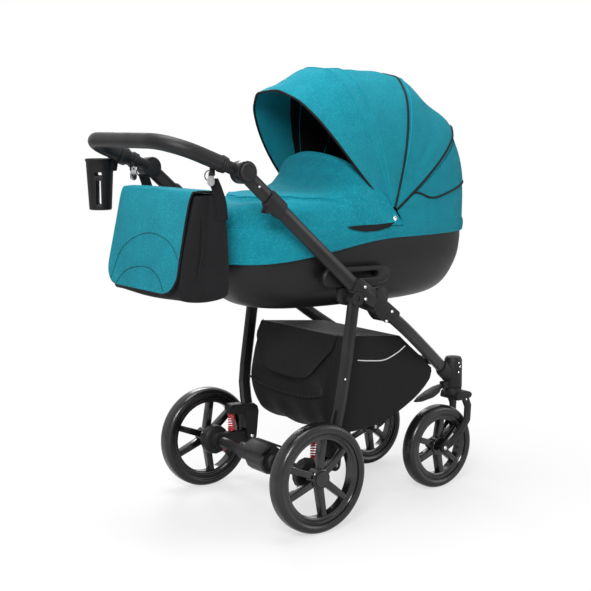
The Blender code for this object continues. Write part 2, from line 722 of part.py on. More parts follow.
def add_rear_leg(name, side, paint):
    """Oval leg with the eye it folds on, the springing bracket at its foot and the coil spring."""
    leg = add_solid(f"rear_leg_{name}", swept(rear_leg_path(side), oval(REAR_LEG_DEPTH, TUBE_THICK)),
                    paint["frame"], "rear_legs")
    inner, outer = SIDE_Y - HOUSING_THICK / 2 + EAR_THICK + 2 * GAP, SIDE_Y + HOUSING_THICK / 2
    fuse(leg, "rear_legs", disc_y(LEG_AXIS, BOSS_RADIUS, side * inner, side * outer))
    cut(leg, "rear_legs", bore_y(LEG_AXIS, PIN_RADIUS, side * (inner - 0.01), side * (outer + 0.01)),
        disc_y(LEG_AXIS, 0.0300, side * (inner - 0.02), side * inner))
    low, high = side * (FOOT_Y - FOOT_THICK / 2), side * (FOOT_Y + FOOT_THICK / 2)
    upright = link_outline((SWING_AXIS.x, SWING_AXIS.z), 0.0165, (SWING_AXIS.x, 0.228), 0.0245)
    foot = add_solid(f"leg_foot_{name}", slab_y(upright, min(low, high), max(low, high)), paint["plastic"],
                     "rear_legs")
    reach = slab_y(link_outline((SWING_AXIS.x, 0.232), 0.018, (SPRING_X, 0.2415), 0.0140),
                   min(low, high) + 0.003, max(low, high) - 0.003)
    fuse(foot, "rear_legs", reach)
    slot = block((SWING_AXIS.x - 0.03, side * (FOOT_Y - SWING_THICK / 2 - RUN), 0.120),
                 (SWING_AXIS.x + 0.03, side * (FOOT_Y + SWING_THICK / 2 + RUN), SWING_AXIS.z + 0.024))
    spring_room = rod_z(SPRING_X, side * FOOT_Y, SPRING_RADIUS + 0.004, SWING_AXIS.z, SPRING_TOP)
    cut(foot, "rear_legs", slot, spring_room, leg_clearance(rear_leg_path(side), REAR_LEG_DEPTH))
    fuse(foot, "rear_legs", disc_y(SWING_AXIS, PIN_RADIUS, low + side * 0.001, high - side * 0.001, SMALL_ROUND))
    add_spring(name, side, paint)


def spring_ends():
    return SWING_AXIS.z + 0.0190 + GAP, SPRING_TOP - GAP


def add_spring(name, side, paint):
    """One unbroken coil, round at its ends, between the swing arm's seat and the leg's bracket."""
    low, high = spring_ends()
    per_turn = 7
    count = SPRING_TURNS * per_turn
    rise = high - low - 2 * SPRING_WIRE
    path = []
    for k in range(count + 1):
        share = k / count
        turn = math.tau * SPRING_TURNS * share
        path.append(Vector((SPRING_X + SPRING_RADIUS * math.cos(turn),
                            side * FOOT_Y + SPRING_RADIUS * math.sin(turn),
                            low + SPRING_WIRE + rise * share)))
    least = rise / SPRING_TURNS - 2 * SPRING_WIRE
    print(f"rear_spring_{name}: {SPRING_TURNS} turns, gap between turns {least * 1000:.2f} mm")
    section = [(SPRING_WIRE * math.cos(math.tau * k / 5), SPRING_WIRE * math.sin(math.tau * k / 5))
               for k in range(5)]
    add_solid(f"rear_spring_{name}", swept(path, section, across=Z_AXIS), paint["red"], "rear_legs")


def add_swing_arm(name, side, rest_height, paint):
    """Springing arm with the wheel's stub axle, its hub housing and the spring's lower seat."""
    axle = Vector((0, 0, rest_height))
    low, high = side * (FOOT_Y - SWING_THICK / 2), side * (FOOT_Y + SWING_THICK / 2)
    plate = link_outline((0, rest_height), 0.024, (SWING_AXIS.x, SWING_AXIS.z), 0.0145)
    arm = add_solid(f"swing_arm_{name}", slab_y(plate, min(low, high), max(low, high)), paint["plastic"],
                    "rear_axle_unit")
    housing = turned([(0, side * (FOOT_Y + 0.010)), (0.036, side * (FOOT_Y + 0.010)),
                      (HUB_HOUSING_RADIUS, side * (FOOT_Y + 0.016)), (HUB_HOUSING_RADIUS, side * (HUB_HOUSING_FACE - 0.005)),
                      (0.038, side * HUB_HOUSING_FACE), (0, side * HUB_HOUSING_FACE)],
                     axle, Y_AXIS, ROUND, closed=False)
    root = side * (HUB_HOUSING_FACE - 0.013)
    stub = turned([(0, root), (0.0125, root), (0.0125, side * (REAR_TRACK / 2 - 0.015 - GAP)),
                   (AXLE_RADIUS, side * (REAR_TRACK / 2 - 0.015 - GAP)),
                   (AXLE_RADIUS, side * (REAR_TRACK / 2 + 0.0148)), (0, side * (REAR_TRACK / 2 + 0.0148))],
                  axle, Y_AXIS, SMALL_ROUND, closed=False)
    seat = rod_z(SPRING_X, side * FOOT_Y, 0.0115, SWING_AXIS.z, SWING_AXIS.z + 0.0190, SMALL_ROUND)
    fuse(arm, "rear_axle_unit", housing, stub, seat)
    place = release_place(rest_height)
    cut(arm, "rear_axle_unit",
        disc_y(place, RELEASE_RADIUS + RUN, side * (RELEASE_FACE - 0.002), side * (RELEASE_FACE + RELEASE_TRAVEL + 0.0012),
               SMALL_ROUND),
        bore_y(SWING_AXIS, PIN_RADIUS, side * (FOOT_Y - 0.03), side * (FOOT_Y + 0.03)))


def release_place(rest_height):
    return Vector((0.0235, 0, rest_height - 0.0285))


def add_wheel_release(name, side, rest_height, paint):
    """The red button that frees the wheel, in a recess on the inside of the hub housing."""
    place = release_place(rest_height)
    press = axis_point(f"wheel_release_{name}_axis", place + Y_AXIS * side * RELEASE_FACE, "rear_axle_unit")
    deep = RELEASE_FACE + 0.0012 - GAP
    top = turned([(0, side * deep), (RELEASE_RADIUS, side * deep), (RELEASE_RADIUS, side * (RELEASE_FACE - 0.0035)),
                  (RELEASE_RADIUS - 0.0015, side * (RELEASE_FACE - 0.005)), (0, side * (RELEASE_FACE - 0.005))],
                 place, Y_AXIS, SMALL_ROUND, closed=False)
    add_solid(f"wheel_release_{name}", top, paint["red"], press)


def add_rear_axle(rest_height, paint):
    """Axle tube between the swing arms with the brake drum and its pedal in the middle."""
    axle = Vector((0, 0, rest_height))
    end = FOOT_Y - SWING_THICK / 2 - GAP
    sleeve = 0.078
    profile = [(0, -end), (AXLE_TUBE_RADIUS, -end), (AXLE_TUBE_RADIUS, -sleeve - 0.006),
               (SLEEVE_RADIUS, -sleeve), (SLEEVE_RADIUS, sleeve), (AXLE_TUBE_RADIUS, sleeve + 0.006),
               (AXLE_TUBE_RADIUS, end), (0, end)]
    drum = [(SLEEVE_RADIUS, BRAKE_FROM), (BRAKE_RADIUS - 0.004, BRAKE_FROM), (BRAKE_RADIUS, BRAKE_FROM + 0.005),
            (BRAKE_RADIUS, BRAKE_TO - 0.005), (BRAKE_RADIUS - 0.004, BRAKE_TO), (SLEEVE_RADIUS, BRAKE_TO)]
    profile[4:4] = drum
    add_solid("rear_axle", turned(profile, axle, Y_AXIS, ROUND, closed=False), paint["frame"], "rear_axle_unit")
    press = axis_point("brake_pedal_axis", axle, "rear_axle_unit")
    outline = []
    for k in range(5):
        turn = math.radians(58 + 72 * k / 4)
        outline.append((0.0480 * math.cos(turn), rest_height + 0.0480 * math.sin(turn)))
    outline += [(-0.0450, rest_height + 0.0290), (-0.0450, rest_height + 0.0240)]
    for k in range(5):
        turn = math.radians(138 - 80 * k / 4)
        outline.append(((BRAKE_RADIUS + 0.0020) * math.cos(turn),
                        rest_height + (BRAKE_RADIUS + 0.0020) * math.sin(turn)))
    wide = 0.0060
    pedal = add_solid("brake_pedal", slab_y(outline, BRAKE_FROM - wide, BRAKE_TO + wide), paint["plastic"], press)
    cheeks = []
    for y in (BRAKE_FROM - wide, BRAKE_TO + GAP):
        cheeks.append(slab_y(link_outline((0, rest_height), 0.0310, (0, rest_height + 0.0400), 0.0070),
                             y, y + wide - GAP))
    fuse(pedal, press, *cheeks)
    cut(pedal, press, bore_y(axle, SLEEVE_RADIUS, BRAKE_FROM - 0.02, BRAKE_TO + 0.02, ROUND))


def add_caster(name, side, paint):
    """Housing on the front leg, the fork that swivels in it, its wheel and the swivel lock."""
    y = side * FRONT_TRACK / 2
    centre = Vector((SWIVEL_X, y, 0))
    r = HOUSING_RADIUS
    profile = [(0, HOUSING_BOTTOM), (r - 0.002, HOUSING_BOTTOM), (r, HOUSING_BOTTOM + 0.003),
               (r - 0.001, HOUSING_TOP - 0.012), (r - 0.005, HOUSING_TOP - 0.003), (0, HOUSING_TOP)]
    housing = add_solid(f"caster_housing_{name}", turned(profile, centre, Z_AXIS, ROUND, closed=False),
                        paint["plastic"], "front_frame")
    path = front_leg_path(side)
    along = (path[-1] - path[-3]).normalized()
    socket = [path[-1] - along * 0.052, path[-1] - along * 0.046, path[-1]]
    ears = block((SWIVEL_X - 0.046, y - 0.009, HOUSING_BOTTOM + 0.001), (SWIVEL_X - 0.012, y + 0.009, 0.318))
    fuse(housing, "front_frame",
         swept(socket, oval(TUBE_DEPTH + 0.006, TUBE_THICK + 0.012), scales=[0.92, 1, 1]), ears)
    slot = block((SWIVEL_X - 0.050, y - 0.0052, 0.290), (SWIVEL_X - 0.0285, y + 0.0052, 0.330))
    cut(housing, "front_frame", leg_clearance(path, FRONT_LEG_DEPTH),
        rod_z(SWIVEL_X, y, (STEM_RADIUS + RUN) / math.cos(math.pi / SMALL_ROUND), 0.280, 0.356, SMALL_ROUND),
        slot)
    lock_axis = Vector((SWIVEL_X - 0.039, y, 0.308))
    fuse(housing, "front_frame", disc_y(lock_axis, 0.0025, y - 0.008, y + 0.008, SMALL_ROUND))
    add_swivel_lock(name, lock_axis, paint)

    swivel = axis_point(f"caster_swivel_{name}_axis", (SWIVEL_X, y, HOUSING_BOTTOM), "front_frame")
    crown_top = HOUSING_BOTTOM - GAP
    fork = add_solid(f"caster_fork_{name}", turned(
        [(0, 0.276), (r - 0.001, 0.276), (r - 0.001, crown_top), (0, crown_top)],
        centre, Z_AXIS, ROUND, closed=False), paint["plastic"], swivel)
    stem = rod_z(SWIVEL_X, y, STEM_RADIUS, 0.290, 0.3550, SMALL_ROUND)
    spread = BLADE_OFFSET + BLADE_THICK / 2
    bridge = [(SWIVEL_X - 0.018, 0.262), (SWIVEL_X + 0.030, 0.262), (SWIVEL_X + 0.046, 0.268),
              (SWIVEL_X + 0.044, 0.281), (SWIVEL_X + 0.024, 0.288), (SWIVEL_X - 0.012, 0.286)]
    bridge = slab_y(rounded_outline(bridge, 0.005), y - spread, y + spread)
    blades = []
    wheel_height = FRONT_RADIUS * math.cos(math.pi / WHEEL_SEGMENTS)
    for hand in (-1, 1):
        by = y + hand * BLADE_OFFSET
        knots = [Vector((SWIVEL_X + 0.017, by, 0.275)), Vector((SWIVEL_X + 0.033, by, 0.240)),
                 Vector((SWIVEL_X + 0.031, by, 0.200)), Vector((SWIVEL_X + 0.001, by, 0.160)),
                 Vector((WHEELBASE + 0.025, by, 0.136)), Vector((WHEELBASE, by, wheel_height))]
        blades.append(swept(knots, oval(0.027, BLADE_THICK, 6, 3.0)))
        blades.append(disc_y((WHEELBASE, 0, wheel_height), 0.0145, by - BLADE_THICK / 2, by + BLADE_THICK / 2, 12))
    axle = disc_y((WHEELBASE, 0, wheel_height), AXLE_RADIUS, y - spread - 0.0015, y + spread + 0.0015, SMALL_ROUND)
    fuse(fork, swivel, stem, bridge, *blades, axle)
    return swivel


def add_swivel_lock(name, lock_axis, paint):
    """Leaf-shaped lever behind a caster that holds it straight."""
    tilt = axis_point(f"swivel_lock_{name}_axis", lock_axis, "front_frame")
    x, y, z = lock_axis
    arm = [(x + 0.0050, z - 0.0050), (x + 0.0050, z + 0.0050), (x - 0.012, z + 0.0040), (x - 0.050, z - 0.0110),
           (x - 0.100, z - 0.0290), (x - 0.120, z - 0.0370), (x - 0.100, z - 0.0370), (x - 0.050, z - 0.0260),
           (x - 0.012, z - 0.0100)]
    leaf = slab_y(rounded_outline(arm, 0.006, 2), y - 0.0200, y + 0.0200)
    plan = [(x + 0.006, -0.0048), (x + 0.006, 0.0048), (x - 0.014, 0.0048), (x - 0.030, 0.0150),
            (x - 0.060, 0.0190), (x - 0.095, 0.0130), (x - 0.118, 0.0030), (x - 0.118, -0.0030),
            (x - 0.095, -0.0130), (x - 0.060, -0.0190), (x - 0.030, -0.0150), (x - 0.014, -0.0048)]
    lever = add_solid(f"swivel_lock_{name}", leaf, paint["plastic"], tilt)
    keep = flat_section(plan, lambda a, b, h: Vector((a, y + b, h)), z - 0.060, z + 0.030)
    combine(lever, "INTERSECT", [keep], tilt)
    cut(lever, tilt, bore_y(lock_axis, 0.0025, y - 0.01, y + 0.01))


def cross_tube_place():
    """Where the cross tube meets the left front leg."""
    return front_leg_path(1)[-3]


def add_cross_tube(paint):
    """Tube that ties the two front legs together under the basket's front edge."""
    here = cross_tube_place()
    tube = add_solid("front_cross_tube", disc_y(here, CROSS_TUBE_RADIUS, -here.y, here.y), paint["frame"],
                     "front_frame")
    for _, side in SIDES:
        cut(tube, "front_frame", leg_clearance(front_leg_path(side), FRONT_LEG_DEPTH),
            block((here.x - 0.04, side * here.y, here.z - 0.04), (here.x + 0.04, side * (here.y + 0.03), here.z + 0.04)))


# Handle and what hangs on it

def handle_path():
    """Centre line of the handle from the right knuckle round to the left one."""
    d = Vector((-math.cos(HANDLE_SLOPE), 0, math.sin(HANDLE_SLOPE)))
    points = []
    corner = HANDLE_CORNER
    for hand in (-1, 1):
        part = [KNUCKLE + d * s + Y_AXIS * hand * HANDLE_Y for s in (0.024, GRIP_FROM, HANDLE_REACH - corner)]
        centre = KNUCKLE + d * (HANDLE_REACH - corner) + Y_AXIS * hand * (HANDLE_Y - corner)
        for k in range(1, 5):
            turn = math.radians(90 * k / 5)
            part.append(centre + Y_AXIS * hand * corner * math.cos(turn) + d * corner * math.sin(turn))
        part.append(centre + d * corner)
        points += part if hand < 0 else part[::-1]
    return points


def handle_along(distance, y):
    d = Vector((-math.cos(HANDLE_SLOPE), 0, math.sin(HANDLE_SLOPE)))
    return KNUCKLE + d * distance + Y_AXIS * y


def add_handle(paint):
    """The padded bar with its half of each knuckle."""
    path = handle_path()
    round_section = [(math.cos(math.tau * k / 10), math.sin(math.tau * k / 10)) for k in range(10)]
    square = Vector((math.sin(HANDLE_SLOPE), 0, math.cos(HANDLE_SLOPE)))
    sizes = []
    for point in path:
        near = (point - KNUCKLE - Y_AXIS * point.y).length < GRIP_FROM - 0.001
        sizes.append(0.0155 if near else GRIP_RADIUS)
    handle = add_solid("handle", swept(path, round_section, across=square, scales=sizes),
                       paint["leather"], "handle_unit")
    for name, side in SIDES:
        face = side * (HANDLE_Y - 0.0100), side * (HANDLE_Y + 0.0097)
        fuse(handle, "handle_unit", disc_y(KNUCKLE, KNUCKLE_RADIUS, face[0], face[1], 18))
        cut(handle, "handle_unit", disc_y(KNUCKLE, KNUCKLE_RADIUS + 0.003, face[1], side * (SIDE_Y + 0.03)))
        fuse(handle, "handle_unit", *hook_lug(side))


def add_tilt_button(name, side, paint):
    """The round button in each knuckle that frees the handle's tilt."""
    press = axis_point(f"tilt_button_{name}_axis", KNUCKLE + Y_AXIS * side * (SIDE_Y + 0.012), "push_arms")
    low = SIDE_Y + 0.012 + 0.0045
    profile = [(0, low), (BUTTON_RADIUS, low), (BUTTON_RADIUS, low + 0.0065), (BUTTON_RADIUS - 0.004, low + 0.0095),
               (0, low + 0.0105)]
    profile = [(r, side * h) for r, h in profile]
    add_solid(f"tilt_button_{name}", turned(profile, (KNUCKLE.x, 0, KNUCKLE.z), Y_AXIS, ROUND, closed=False),
              paint["plastic"], press)


def add_cup_holder(paint):
    """Open cup with windows in its wall, on a ring round the left arm of the handle."""
    centre = Vector((CUP_X, CUP_Y, 0))
    foot = CUP_TOP - CUP_HEIGHT
    profile = [(0, foot), (CUP_FOOT_RADIUS - 0.003, foot), (CUP_FOOT_RADIUS, foot + 0.003),
               (CUP_TOP_RADIUS, CUP_TOP), (CUP_TOP_RADIUS - CUP_WALL, CUP_TOP),
               (CUP_FOOT_RADIUS - CUP_WALL, foot + 0.004), (0, foot + 0.004)]
    cup = add_solid("cup_holder", turned(profile, centre, Z_AXIS, ROUND, closed=False), paint["plastic"],
                    "handle_unit")
    d = Vector((-math.cos(HANDLE_SLOPE), 0, math.sin(HANDLE_SLOPE)))
    spot = handle_along(CUP_RING_ALONG, HANDLE_Y)
    bore = (GRIP_RADIUS + GAP) / math.cos(math.pi / ROUND)
    ring = turned([(bore, -0.010), (bore + 0.0035, -0.010), (bore + 0.0035, 0.010), (bore, 0.010)], spot, d, ROUND)
    neck = block((CUP_X + 0.014, HANDLE_Y + 0.012, CUP_TOP - 0.034), (CUP_X + 0.042, CUP_Y - 0.008, CUP_TOP + 0.014))
    hollow = turned([(0, foot + 0.004), (CUP_FOOT_RADIUS - CUP_WALL, foot + 0.004),
                     (CUP_TOP_RADIUS - CUP_WALL, CUP_TOP), (CUP_TOP_RADIUS - CUP_WALL, CUP_TOP + 0.03),
                     (0, CUP_TOP + 0.03)], centre, Z_AXIS, ROUND, closed=False)
    fuse(cup, "handle_unit", neck, ring)
    cut(cup, "handle_unit", hollow, turned([(0, -0.03), (bore, -0.03), (bore, 0.03), (0, 0.03)],
                                           spot, d, ROUND, closed=False),
        block((CUP_X - 0.006, CUP_Y - 0.05, foot + 0.006), (CUP_X + 0.006, CUP_Y + 0.05, foot + 0.070)),
        block((CUP_X - 0.016, CUP_Y - 0.05, foot + 0.088), (CUP_X + 0.002, CUP_Y + 0.05, foot + 0.096)))


def hook_axis():
    point = handle_along(HOOK_ALONG, 0.0)
    return Vector((point.x, 0, point.z - HOOK_DROP))


def hook_lug(side):
    """The lug under the handle's arm, and the pin on it that a bag clip hangs on."""
    axis = hook_axis()
    face = side * (CLIP_INNER + CLIP_THICK + GAP)
    lug = block((axis.x - 0.006, face, axis.z - 0.006), (axis.x + 0.006, face + side * 0.009, axis.z + 0.022))
    pin = disc_y(axis, 0.0022, side * (CLIP_INNER + 0.0005), face + side * 0.004, SMALL_ROUND)
    return [lug, pin]


def add_bag_clip(name, side, paint):
    """Flat metal clip that hangs on the handle's lug and carries the bag's strap."""
    axis = hook_axis()
    low, high = sorted((side * CLIP_INNER, side * (CLIP_INNER + CLIP_THICK)))
    outline = link_outline((axis.x, axis.z), 0.0070, (axis.x, axis.z - 0.022), 0.0100)
    clip = add_solid(f"bag_clip_{name}", slab_y(outline, low, high), paint["steel"], "bag_clips")
    cut(clip, "bag_clips", bore_y(axis, 0.0022, low - 0.01, high + 0.01))


def add_bag(paint):
    """Shoulder bag: an open-topped body, its straps and the flap that closes it."""
    half = BAG_HALF_WIDTH
    body = [(-0.353, 0.648), (-0.338, 0.640), (-0.226, 0.640), (-0.212, 0.650), (-0.226, 0.896), (-0.304, 0.896)]
    bag = add_solid("bag_body", slab_y(rounded_outline(body, 0.012, 2), -half, half), paint["black_cloth"], "bag")
    room = inset_outline(body, BAG_WALL)
    room[4] = (room[4][0], 0.93)
    room[5] = (room[5][0], 0.93)
    cut(bag, "bag", slab_y(room, -half + BAG_WALL, half - BAG_WALL))
    for name, side in SIDES:
        axis = hook_axis()
        slope = [Vector((axis.x, side * (half + 0.0005), 0.820)), Vector((axis.x, side * (half + 0.0005), 0.880)),
                 Vector((axis.x, side * (half + STRAP_OUT), axis.z - 0.030)),
                 Vector((axis.x, side * (half + STRAP_OUT), axis.z + 0.007))]
        thick = STRAP_THICK / 2
        webbing = swept(slope, [(0.0145, -thick), (0.0145, thick), (-0.0145, thick), (-0.0145, -thick)])
        fuse(bag, "bag", webbing)
    flap_axis = axis_point("bag_flap_axis", (-0.234, 0, 0.902), "bag")
    skin = [(-0.234, 0.8963), (-0.234, 0.9085), (-0.306, 0.9115), (-0.3225, 0.900), (-0.3740, 0.656),
            (-0.3600, 0.652), (-0.3100, 0.8963)]
    flap = add_solid("bag_flap", slab_y(rounded_outline(skin, 0.006, 2), -half + 0.002, half - 0.002),
                     paint["teal"], flap_axis)
    cut(flap, flap_axis, *flap_corners(half))


def flap_corners(half):
    """The pieces cut off the flap's lower corners to round them."""
    cutters = []
    for side in (-1, 1):
        radius = 0.055
        outline = [(half + 0.01, -0.01), (half + 0.01, radius)]
        for k in range(5):
            turn = math.radians(90 * k / 4)
            outline.append((half - radius + radius * math.cos(turn), radius - radius * math.sin(turn)))
        outline.append((half - radius, -0.01))
        outline = [(side * a, 0.656 + b) for a, b in outline]
        cutters.append(flat_section(outline, lambda a, b, h: Vector((h, a, b)), -0.42, -0.30))
    return cutters


# Basket

def add_basket(paint):
    """Cloth tub slung between the legs, open at the top behind its lid."""
    side = [(0.145, 0.500), (0.092, 0.330), (0.140, 0.232), (0.190, 0.214), (0.320, 0.226), (0.425, 0.275),
            (0.492, 0.330), (0.496, 0.372), (0.372, 0.478)]
    basket = add_solid("basket", slab_y(rounded_outline(side, 0.022, 2), -BASKET_HALF_WIDTH, BASKET_HALF_WIDTH),
                       paint["black_cloth"], "front_frame")
    room = inset_outline(side, BASKET_WALL)
    room[0] = (room[0][0], 0.560)
    room[-1] = (room[-1][0], 0.560)
    cut(basket, "front_frame", slab_y(rounded_outline(room, 0.019, 2), -BASKET_HALF_WIDTH + BASKET_WALL,
                                      BASKET_HALF_WIDTH - BASKET_WALL))
    tube = cross_tube_place()
    sleeve = disc_y(tube, CROSS_TUBE_RADIUS + 0.003, -SLEEVE_HALF, SLEEVE_HALF)
    web = [(0.488, 0.352), (0.4965, 0.352), (tube.x - 0.004, tube.z - 0.012), (tube.x - 0.011, tube.z + 0.006),
           (0.488, 0.3765)]
    fuse(basket, "front_frame", sleeve, slab_y(web, -SLEEVE_HALF, SLEEVE_HALF))
    cut(basket, "front_frame", disc_y(tube, (CROSS_TUBE_RADIUS + GAP) / math.cos(math.pi / ROUND),
                                      -SLEEVE_HALF - 0.01, SLEEVE_HALF + 0.01))


def add_chassis(paint):
    axis_point("front_frame", (FOLD_AXIS.x, 0, FOLD_AXIS.z), "pram")
    axis_point("push_arms", FOLD_AXIS, "front_frame")
    axis_point("rear_legs", LEG_AXIS, "front_frame")
    axis_point("rear_axle_unit", SWING_AXIS, "rear_legs")
    axis_point("handle_unit", KNUCKLE, "push_arms")
    axis_point("bag_clips", hook_axis(), "handle_unit")
    axis_point("bag", hook_axis(), "bag_clips")
    rest_height = REAR_RADIUS * math.cos(math.pi / WHEEL_SEGMENTS)
    for name, side in SIDES:
        add_fold_block(name, side, paint)
        add_front_leg(name, side, paint)
        add_arm(name, side, paint)
        add_fold_trigger(name, side, paint)
        add_tilt_button(name, side, paint)
        add_bag_clip(name, side, paint)
        add_rear_leg(name, side, paint)
        add_swing_arm(name, side, rest_height, paint)
        add_wheel_release(name, side, rest_height, paint)
        add_wheel("rear", side, name, 0.0, REAR_TRACK, REAR_RADIUS, REAR_TYRE_WIDTH, "rear_axle_unit", paint)
        swivel = add_caster(name, side, paint)
        add_wheel("front", side, name, WHEELBASE, FRONT_TRACK, FRONT_RADIUS, FRONT_TYRE_WIDTH, swivel, paint)
    add_rear_axle(rest_height, paint)
    add_cross_tube(paint)
    add_handle(paint)
    add_cup_holder(paint)
    add_bag(paint)
    add_basket(paint)


# Carrycot

def band_foot(x):
    """Height of the line where the black shell ends and the cloth band begins."""
    share = max(0.0, min(1.0, (x + 0.12) / 0.47))
    return 0.712 + 0.055 * share * share * (3 - 2 * share)


def shell_outside(more=0.0):
    """Rings of the tub's outside, from its floor to the band."""
    rings = [ring_points(a + more, b + more, z - more) for a, b, z in SHELL_RINGS]
    rings.append(ring_points(SHELL_RIM[0] + more, SHELL_RIM[1] + more, band_foot))
    return rings


def add_cot_shell(paint):
    """Black tub of the carrycot."""
    wall = SHELL_WALL
    rings = shell_outside()
    rings.append(ring_points(SHELL_RIM[0] - wall, SHELL_RIM[1] - wall, band_foot))
    rings += [ring_points(a - wall, b - wall, z + wall * 0.8) for a, b, z in (SHELL_RINGS[2], SHELL_RINGS[0])]
    add_solid("cot_shell", stacked_rings(rings, closed=False), paint["shell"], "cot")


def add_cot_band(paint):
    """Upper side wall of the cot, covered in cloth."""
    a, b, wall = COT_HALF_LENGTH, COT_HALF_WIDTH, BAND_WALL

    def foot(x):
        return band_foot(x) + GAP

    rings = [ring_points(a - 0.004, b - 0.0055, foot), ring_points(a - 0.002, b - 0.0015, lambda x: foot(x) + 0.006),
             ring_points(a, b, BAND_TOP - 0.020), ring_points(a, b, BAND_TOP),
             ring_points(a - wall, b - wall, BAND_TOP), ring_points(a - wall - 0.004, b - wall - 0.0055, foot)]
    add_solid("cot_band", stacked_rings(rings, closed=True), paint["teal"], "cot")


def add_mattress(paint):
    long, wide = COT_HALF_LENGTH - 0.059, COT_HALF_WIDTH - 0.044
    rings = [ring_points(long - 0.0075, wide - 0.0045, MATTRESS_TOP - 0.032), ring_points(long, wide, MATTRESS_TOP - 0.016),
             ring_points(long - 0.014, wide - 0.010, MATTRESS_TOP)]
    add_solid("mattress", stacked_rings(rings, closed=False), paint["white_cloth"], "cot")


def cot_half_width_at(x, half_length, half_width, power=2.7):
    share = min(1.0, abs((x - COT_CENTRE_X) / half_length))
    return half_width * max(0.0, 1 - share ** power) ** (1 / power)


def add_apron(paint):
    """Cover over the foot half of the cot, with the raised flap that shields the child from the wind."""
    skin = 0.004
    stations = []
    base_height = BAND_TOP + GAP
    foot_x = COT_CENTRE_X - COT_HALF_LENGTH
    for x, height in ((foot_x + 0.002, 0.022), (foot_x + 0.014, 0.050), (foot_x + 0.050, 0.070),
                      (foot_x + 0.130, 0.082), (0.060, 0.086)):
        width = cot_half_width_at(x, COT_HALF_LENGTH, COT_HALF_WIDTH)
        stations.append((Vector((x, 0, base_height)), 0.0, max(width, 0.012), height, 5.0))
    for base_x, lean, height, power in ((0.130, 4.0, 0.094, 4.0), (0.190, 14.0, 0.122, 3.2),
                                        (0.245, 22.0, 0.168, 2.8), (0.300, 30.0, 0.230, 2.5)):
        stations.append((Vector((base_x, 0, base_height)), lean, COT_HALF_WIDTH, height, power))
    outer, inner = [], []
    for index, (base, lean, width, height, power) in enumerate(stations):
        turn = math.radians(90 + lean)
        d = Vector((math.cos(turn), 0, math.sin(turn)))
        outer.append(arch_row(base, d, width, height, 12, power))
        push = Vector((skin, 0, 0)) if index == 0 else Vector((0, 0, 0))
        inner.append(arch_row(base + push, d, width - skin, height - skin, 12, power))
    add_solid("apron", grid_solid(outer, inner), paint["teal"], "cot")


def hood_direction(angle):
    turn = math.radians(angle)
    return Vector((math.cos(turn), 0, math.sin(turn)))


def hood_reach(angle):
    """How far the hood stands off its axis at an angle."""
    for (a, low), (b, high) in zip(HOOD_REACHES, HOOD_REACHES[1:]):
        if angle <= b:
            return low + (high - low) * max(0.0, (angle - a) / (b - a))
    return HOOD_REACHES[-1][1]


def hood_panel(angles, edge_gap, dip=0.0, lowest=0.014):
    """Cloth skin between two bows; it dips a little between them and keeps its edge clear of its neighbours."""
    outer, inner = [], []
    last = len(angles) - 1
    for index, angle in enumerate(angles):
        d = hood_direction(angle)
        normal = Vector((d.z, 0, -d.x))
        shift = Vector((0, 0, 0))
        if index == 0:
            shift = normal * edge_gap
        if index == last:
            shift = -normal * edge_gap
        sag = dip * math.sin(math.pi * index / last)
        size = hood_reach(angle) - sag
        width = COT_HALF_WIDTH - sag * 0.3
        outer.append(arch_row(HOOD_AXIS + shift, d, width, size, 14, lowest=lowest))
        inner.append(arch_row(HOOD_AXIS + shift, d, width - HOOD_SKIN, size - HOOD_SKIN, 14,
                              lowest=lowest * (1 - HOOD_SKIN / size)))
    return grid_solid(outer, inner)


def hood_tail(edge_gap, samples=14, lowest=0.014):
    """The rear panel: from the rear bow down to the rim of the cot, which it follows round the head end."""
    outer, inner = [], []
    angles = steps_between(REAR_BOW, TAIL_RIM, 3)
    for index, angle in enumerate(angles):
        d = hood_direction(angle)
        shift = Vector((d.z, 0, -d.x)) * edge_gap if index == 0 else Vector((0, 0, 0))
        size = hood_reach(angle)
        outer.append(arch_row(HOOD_AXIS + shift, d, COT_HALF_WIDTH, size, samples, lowest=lowest))
        inner.append(arch_row(HOOD_AXIS + shift, d, COT_HALF_WIDTH - HOOD_SKIN, size - HOOD_SKIN, samples,
                              lowest=lowest * (1 - HOOD_SKIN / size)))
    reach = COT_CENTRE_X + COT_HALF_LENGTH
    for grid, drawn_in in ((outer, 0.0), (inner, HOOD_SKIN)):
        row = []
        for point in grid[-1]:
            share = min(1.0, (point.x - HOOD_AXIS.x) / (grid[-1][samples // 2].x - HOOD_AXIS.x))
            x = HOOD_AXIS.x + (reach - drawn_in - HOOD_AXIS.x) * share
            half = cot_half_width_at(x, COT_HALF_LENGTH - drawn_in + 0.0005, COT_HALF_WIDTH - drawn_in)
            y = math.copysign(half, point.y) if abs(point.y) > 1e-6 else 0.0
            row.append(Vector((x, y, BAND_TOP + GAP)))
        grid.append(row)
    return grid_solid(outer, inner)


def steps_between(first, last, count):
    return [first + (last - first) * k / count for k in range(count + 1)]


